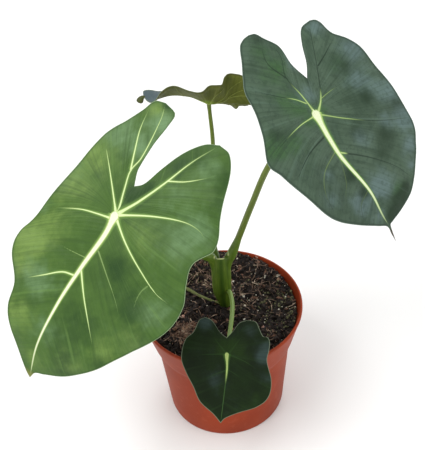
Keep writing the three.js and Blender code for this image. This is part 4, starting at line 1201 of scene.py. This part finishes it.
def soil_rings():
    """Rings of the soil, from its underside up the pot's wall and in to the crown's pit."""
    turn = np.linspace(0, 2 * math.pi, 220, endpoint=False)
    cos, sin = np.cos(turn), np.sin(turn)
    rings = [np.column_stack([r * cos, r * sin, np.full(len(turn), z)])
             for r, z in ((1, 2.4), (43, 2.4), (44.5, 10), (49, 69), (51.5, 72))]
    # It ends between 1.2 mm short of the pot's wall, at the sides, and 0.4 mm inside it, at the back
    edge = soil_edge(cos, sin) + 0.4
    for share in np.linspace(1, 0, 80):
        x = (1 - share) * (CROWN_X + CROWN_HOLE * cos) + share * edge * cos
        y = (1 - share) * (CROWN_Y + CROWN_HOLE * sin) + share * edge * sin
        lumps = np.array([noise.fractal(Vector((a * 0.22, b * 0.22, 3)), 0.8, 2.1, 4)
                          for a, b in zip(x, y)])
        rings.append(np.column_stack([x, y, soil_height(x, y) + 1.1 * lumps - 0.5]))
    rings.append(np.column_stack([CROWN_X + CROWN_HOLE * cos, CROWN_Y + CROWN_HOLE * sin,
                                  np.full(len(turn), CROWN_HOLE_FLOOR)]))
    return np.array(rings)


# Patches of the soil with more of one thing in them: middle and spread
RIGHT = ((38, 0), 15)
BACK = ((-12, 40), 9)
BESIDE = ((22, 24), 13)
CLUMP = ((-27, -18), 5)
# Larger grains that stand out: x, y, size and what they are
LARGE_GRAINS = ((47, 32, 1.7, "perlite"), (51, -7, 1.9, "moss"), (53, 6, 1.8, "moss"),
                (54, 1, 1.3, "perlite"), (17, 14, 1.0, "perlite"), (16.6, 16, 0.8, "perlite"),
                (28, 11, 0.9, "perlite"), (3.5, -4.5, 0.8, "perlite"), (16.5, -9.5, 1.1, "perlite"),
                (29, -18, 1.9, "clay"), (-29, -1, 1.4, "clay"), (38, 38, 1.0, "perlite"),
                (-5.5, 12, 0.9, "perlite"))
# How far the corners of grains and of fibres are moved, as a share of their distance
GRAIN_LUMPS = 0.22
FIBRE_LUMPS = 0.04


class ALOCASIA_OT_soil(bpy.types.Operator):
    """Potting soil with crumbs, fibres, bark and perlite"""
    bl_idname = "alocasia.soil"
    bl_label = "Soil"

    def execute(self, context):
        sizes = context.scene.alocasia_soil
        skins = {key: grain_skin(*stuff) for key, stuff in SOIL_STUFF.items()}
        rings = soil_rings()
        soil = tube("soil", rings, np.arange(len(rings), dtype=float))
        finish(soil, "potting_soil", "soil", material=skins["peat"])
        rng = random.Random(11)
        bpy.ops.mesh.primitive_ico_sphere_add(subdivisions=1, radius=1)
        ball = context.object
        # Name, count, smallest and largest size, stretch, lift, skin and where
        for kind, count, low, high, stretch, lift, skin, places in (
                ("crumbs", sizes.crumbs, 0.45, 2.0, (0.9, 1.8), 0.35, "crumb", (None,)),
                ("bark", sizes.crumbs // 6, 0.5, 1.7, (1, 2.4), 0.5, "bark", (None, CLUMP)),
                ("moss", sizes.crumbs // 4, 0.3, 1.1, (0.9, 1.5), 0.8, "moss", (RIGHT, RIGHT, BACK)),
                ("perlite", sizes.grains, 0.25, 0.85, (0.9, 1.3), 1.2, "perlite",
                 (None, RIGHT, BESIDE))):
            spots = []
            for where in places:
                spots += soil_spots(rng, count // len(places), low, high, stretch, lift, *(where or ()))
            scatter(f"soil_{kind}", ball, spots, GRAIN_LUMPS, skins[skin])
        # A fibre is a shallow bow, five-sided; each one lies a little over the soil
        bow = [[x, 0.3 * x * x - 0.1, 0.2 * x**3] for x in (-0.8, -0.3, 0.3, 0.8)]
        rings, lengths = tube_rings(bow, lambda t, turn: 0.06 * (1 - 0.5 * t), 5, 5)
        stick = tube("stick", rings / MM, lengths)
        with editing(stick):
            bpy.ops.mesh.quads_convert_to_tris()
        spots = []
        for where in (None, None, BESIDE, CLUMP, CLUMP, BACK):
            spots += soil_spots(rng, sizes.fibres // 6, 1.4, 7.0, (1, 1), 0.12, *(where or ()))
        spots = [(place + np.array([0, 0, 0.9]), np.full(3, size[1]), turned)
                 for place, size, turned in spots]
        scatter("soil_fibres", stick, spots, FIBRE_LUMPS, skins["fibre"])
        for x, y, size, skin in LARGE_GRAINS:
            spot = soil_spots(rng, 1, size, size, (1.1, 1.4), 0.6, (x, y), 0.1)
            scatter("soil_grain", ball, spot, GRAIN_LUMPS, skins[skin])
        for tool in (ball, stick):
            bpy.data.objects.remove(tool)
        return {"FINISHED"}


# The stage, in metres: floor, what the lamps aim at, and each lamp's name, place, size and power
FLOOR_SIZE = 30
AIM = (0, 0, 0.15)
LAMPS = (("Key", (-0.9, -0.7, 1.6), 1.0, 22), ("Fill", (1.3, -0.9, 1.0), 1.2, 6),
         ("Rim", (0.5, 1.4, 1.2), 1.0, 8))
SKY_STRENGTH = 0.75
# The camera, fitted to the photo: how far it looks down and is turned about its axis, in degrees, and
# its place to its own right, up and back, in millimetres
LOOK_DOWN = 40.07
LEAN = -3.97
CAMERA_RIGHT, CAMERA_UP, CAMERA_BACK = -11.8, 133.1, 731.3
LENS = 72
SENSOR = 36


class ALOCASIA_OT_stage(bpy.types.Operator):
    """Pale floor, soft light and the camera"""
    bl_idname = "alocasia.stage"
    bl_label = "Stage"

    def execute(self, context):
        looks = context.scene.alocasia_stage
        pick()
        bpy.ops.mesh.primitive_plane_add(size=FLOOR_SIZE, location=(0, 0, 0))
        floor = context.object
        floor.name = "floor"
        # Uncoated paper scatters light evenly, so it shows no reflection
        material, _, shader = new_material("Matt white paper", roughness=0.9)
        shader.inputs["Base Color"].default_value = (*looks.floor, 1)
        floor.data.materials.append(material)
        world = bpy.data.worlds.new("Studio")
        context.scene.world = world
        world.use_nodes = True
        sky = world.node_tree.nodes["Background"]
        sky.inputs["Color"].default_value = (1, 1, 1, 1)
        sky.inputs["Strength"].default_value = SKY_STRENGTH * looks.light
        for name, place, size, power in LAMPS:
            bpy.ops.object.light_add(type="AREA", location=place)
            lamp = context.object
            lamp.name = name
            lamp.data.size = size
            lamp.data.energy = power * looks.light
            toward = Vector(AIM) - Vector(place)
            lamp.rotation_euler = toward.to_track_quat("-Z", "Y").to_euler()
        pitch, roll = math.radians(LOOK_DOWN), math.radians(LEAN)
        right, up = Vector((1, 0, 0)), Vector((0, math.sin(pitch), math.cos(pitch)))
        ahead = Vector((0, math.cos(pitch), -math.sin(pitch)))
        turned_right = math.cos(roll) * right + math.sin(roll) * up
        turned_up = -math.sin(roll) * right + math.cos(roll) * up
        place = (CAMERA_RIGHT * turned_right + CAMERA_UP * turned_up - CAMERA_BACK * ahead) * MM
        bpy.ops.object.camera_add()
        camera = context.object
        camera.data.lens = LENS
        camera.data.sensor_width = SENSOR
        camera.data.clip_end = 50
        camera.matrix_world = Matrix.Translation(place) @ Matrix(
            (turned_right, turned_up, -ahead)).transposed().to_4x4()
        context.scene.camera = camera
        context.scene.view_settings.view_transform = "Standard"
        return {"FINISHED"}


class ALOCASIA_PT_panel(bpy.types.Panel):
    """Lists the pieces of the potted alocasia"""
    bl_label = "Alocasia"
    bl_idname = "ALOCASIA_PT_panel"
    bl_space_type = "VIEW_3D"
    bl_region_type = "UI"
    bl_category = "Alocasia"

    def draw(self, context):
        for operator in OPERATORS:
            self.layout.operator(operator.bl_idname)
        for name, group in GROUPS.items():
            for key in group.__annotations__:
                self.layout.prop(getattr(context.scene, name), key)


OPERATORS = (ALOCASIA_OT_stage, ALOCASIA_OT_pot, ALOCASIA_OT_soil, ALOCASIA_OT_crown,
             ALOCASIA_OT_stalks, ALOCASIA_OT_blades)
GROUPS = {"alocasia_pot": PotSizes, "alocasia_soil": SoilSizes, "alocasia_leaf": LeafSizes,
          "alocasia_stage": StageLooks}


def register():
    """Registers the classes and hangs each group of values on the scene."""
    for kind in (*GROUPS.values(), *OPERATORS, ALOCASIA_PT_panel):
        bpy.utils.register_class(kind)
    for name, group in GROUPS.items():
        setattr(bpy.types.Scene, name, bpy.props.PointerProperty(type=group))


def unregister():
    """Takes the groups of values off the scene and unregisters the classes."""
    for name in GROUPS:
        delattr(bpy.types.Scene, name)
    for kind in reversed((*GROUPS.values(), *OPERATORS, ALOCASIA_PT_panel)):
        bpy.utils.unregister_class(kind)


def main():
    """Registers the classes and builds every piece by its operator."""
    register()
    for operator in OPERATORS:
        section, name = operator.bl_idname.split(".")
        getattr(getattr(bpy.ops, section), name)()


if __name__ == "__main__":
    main()
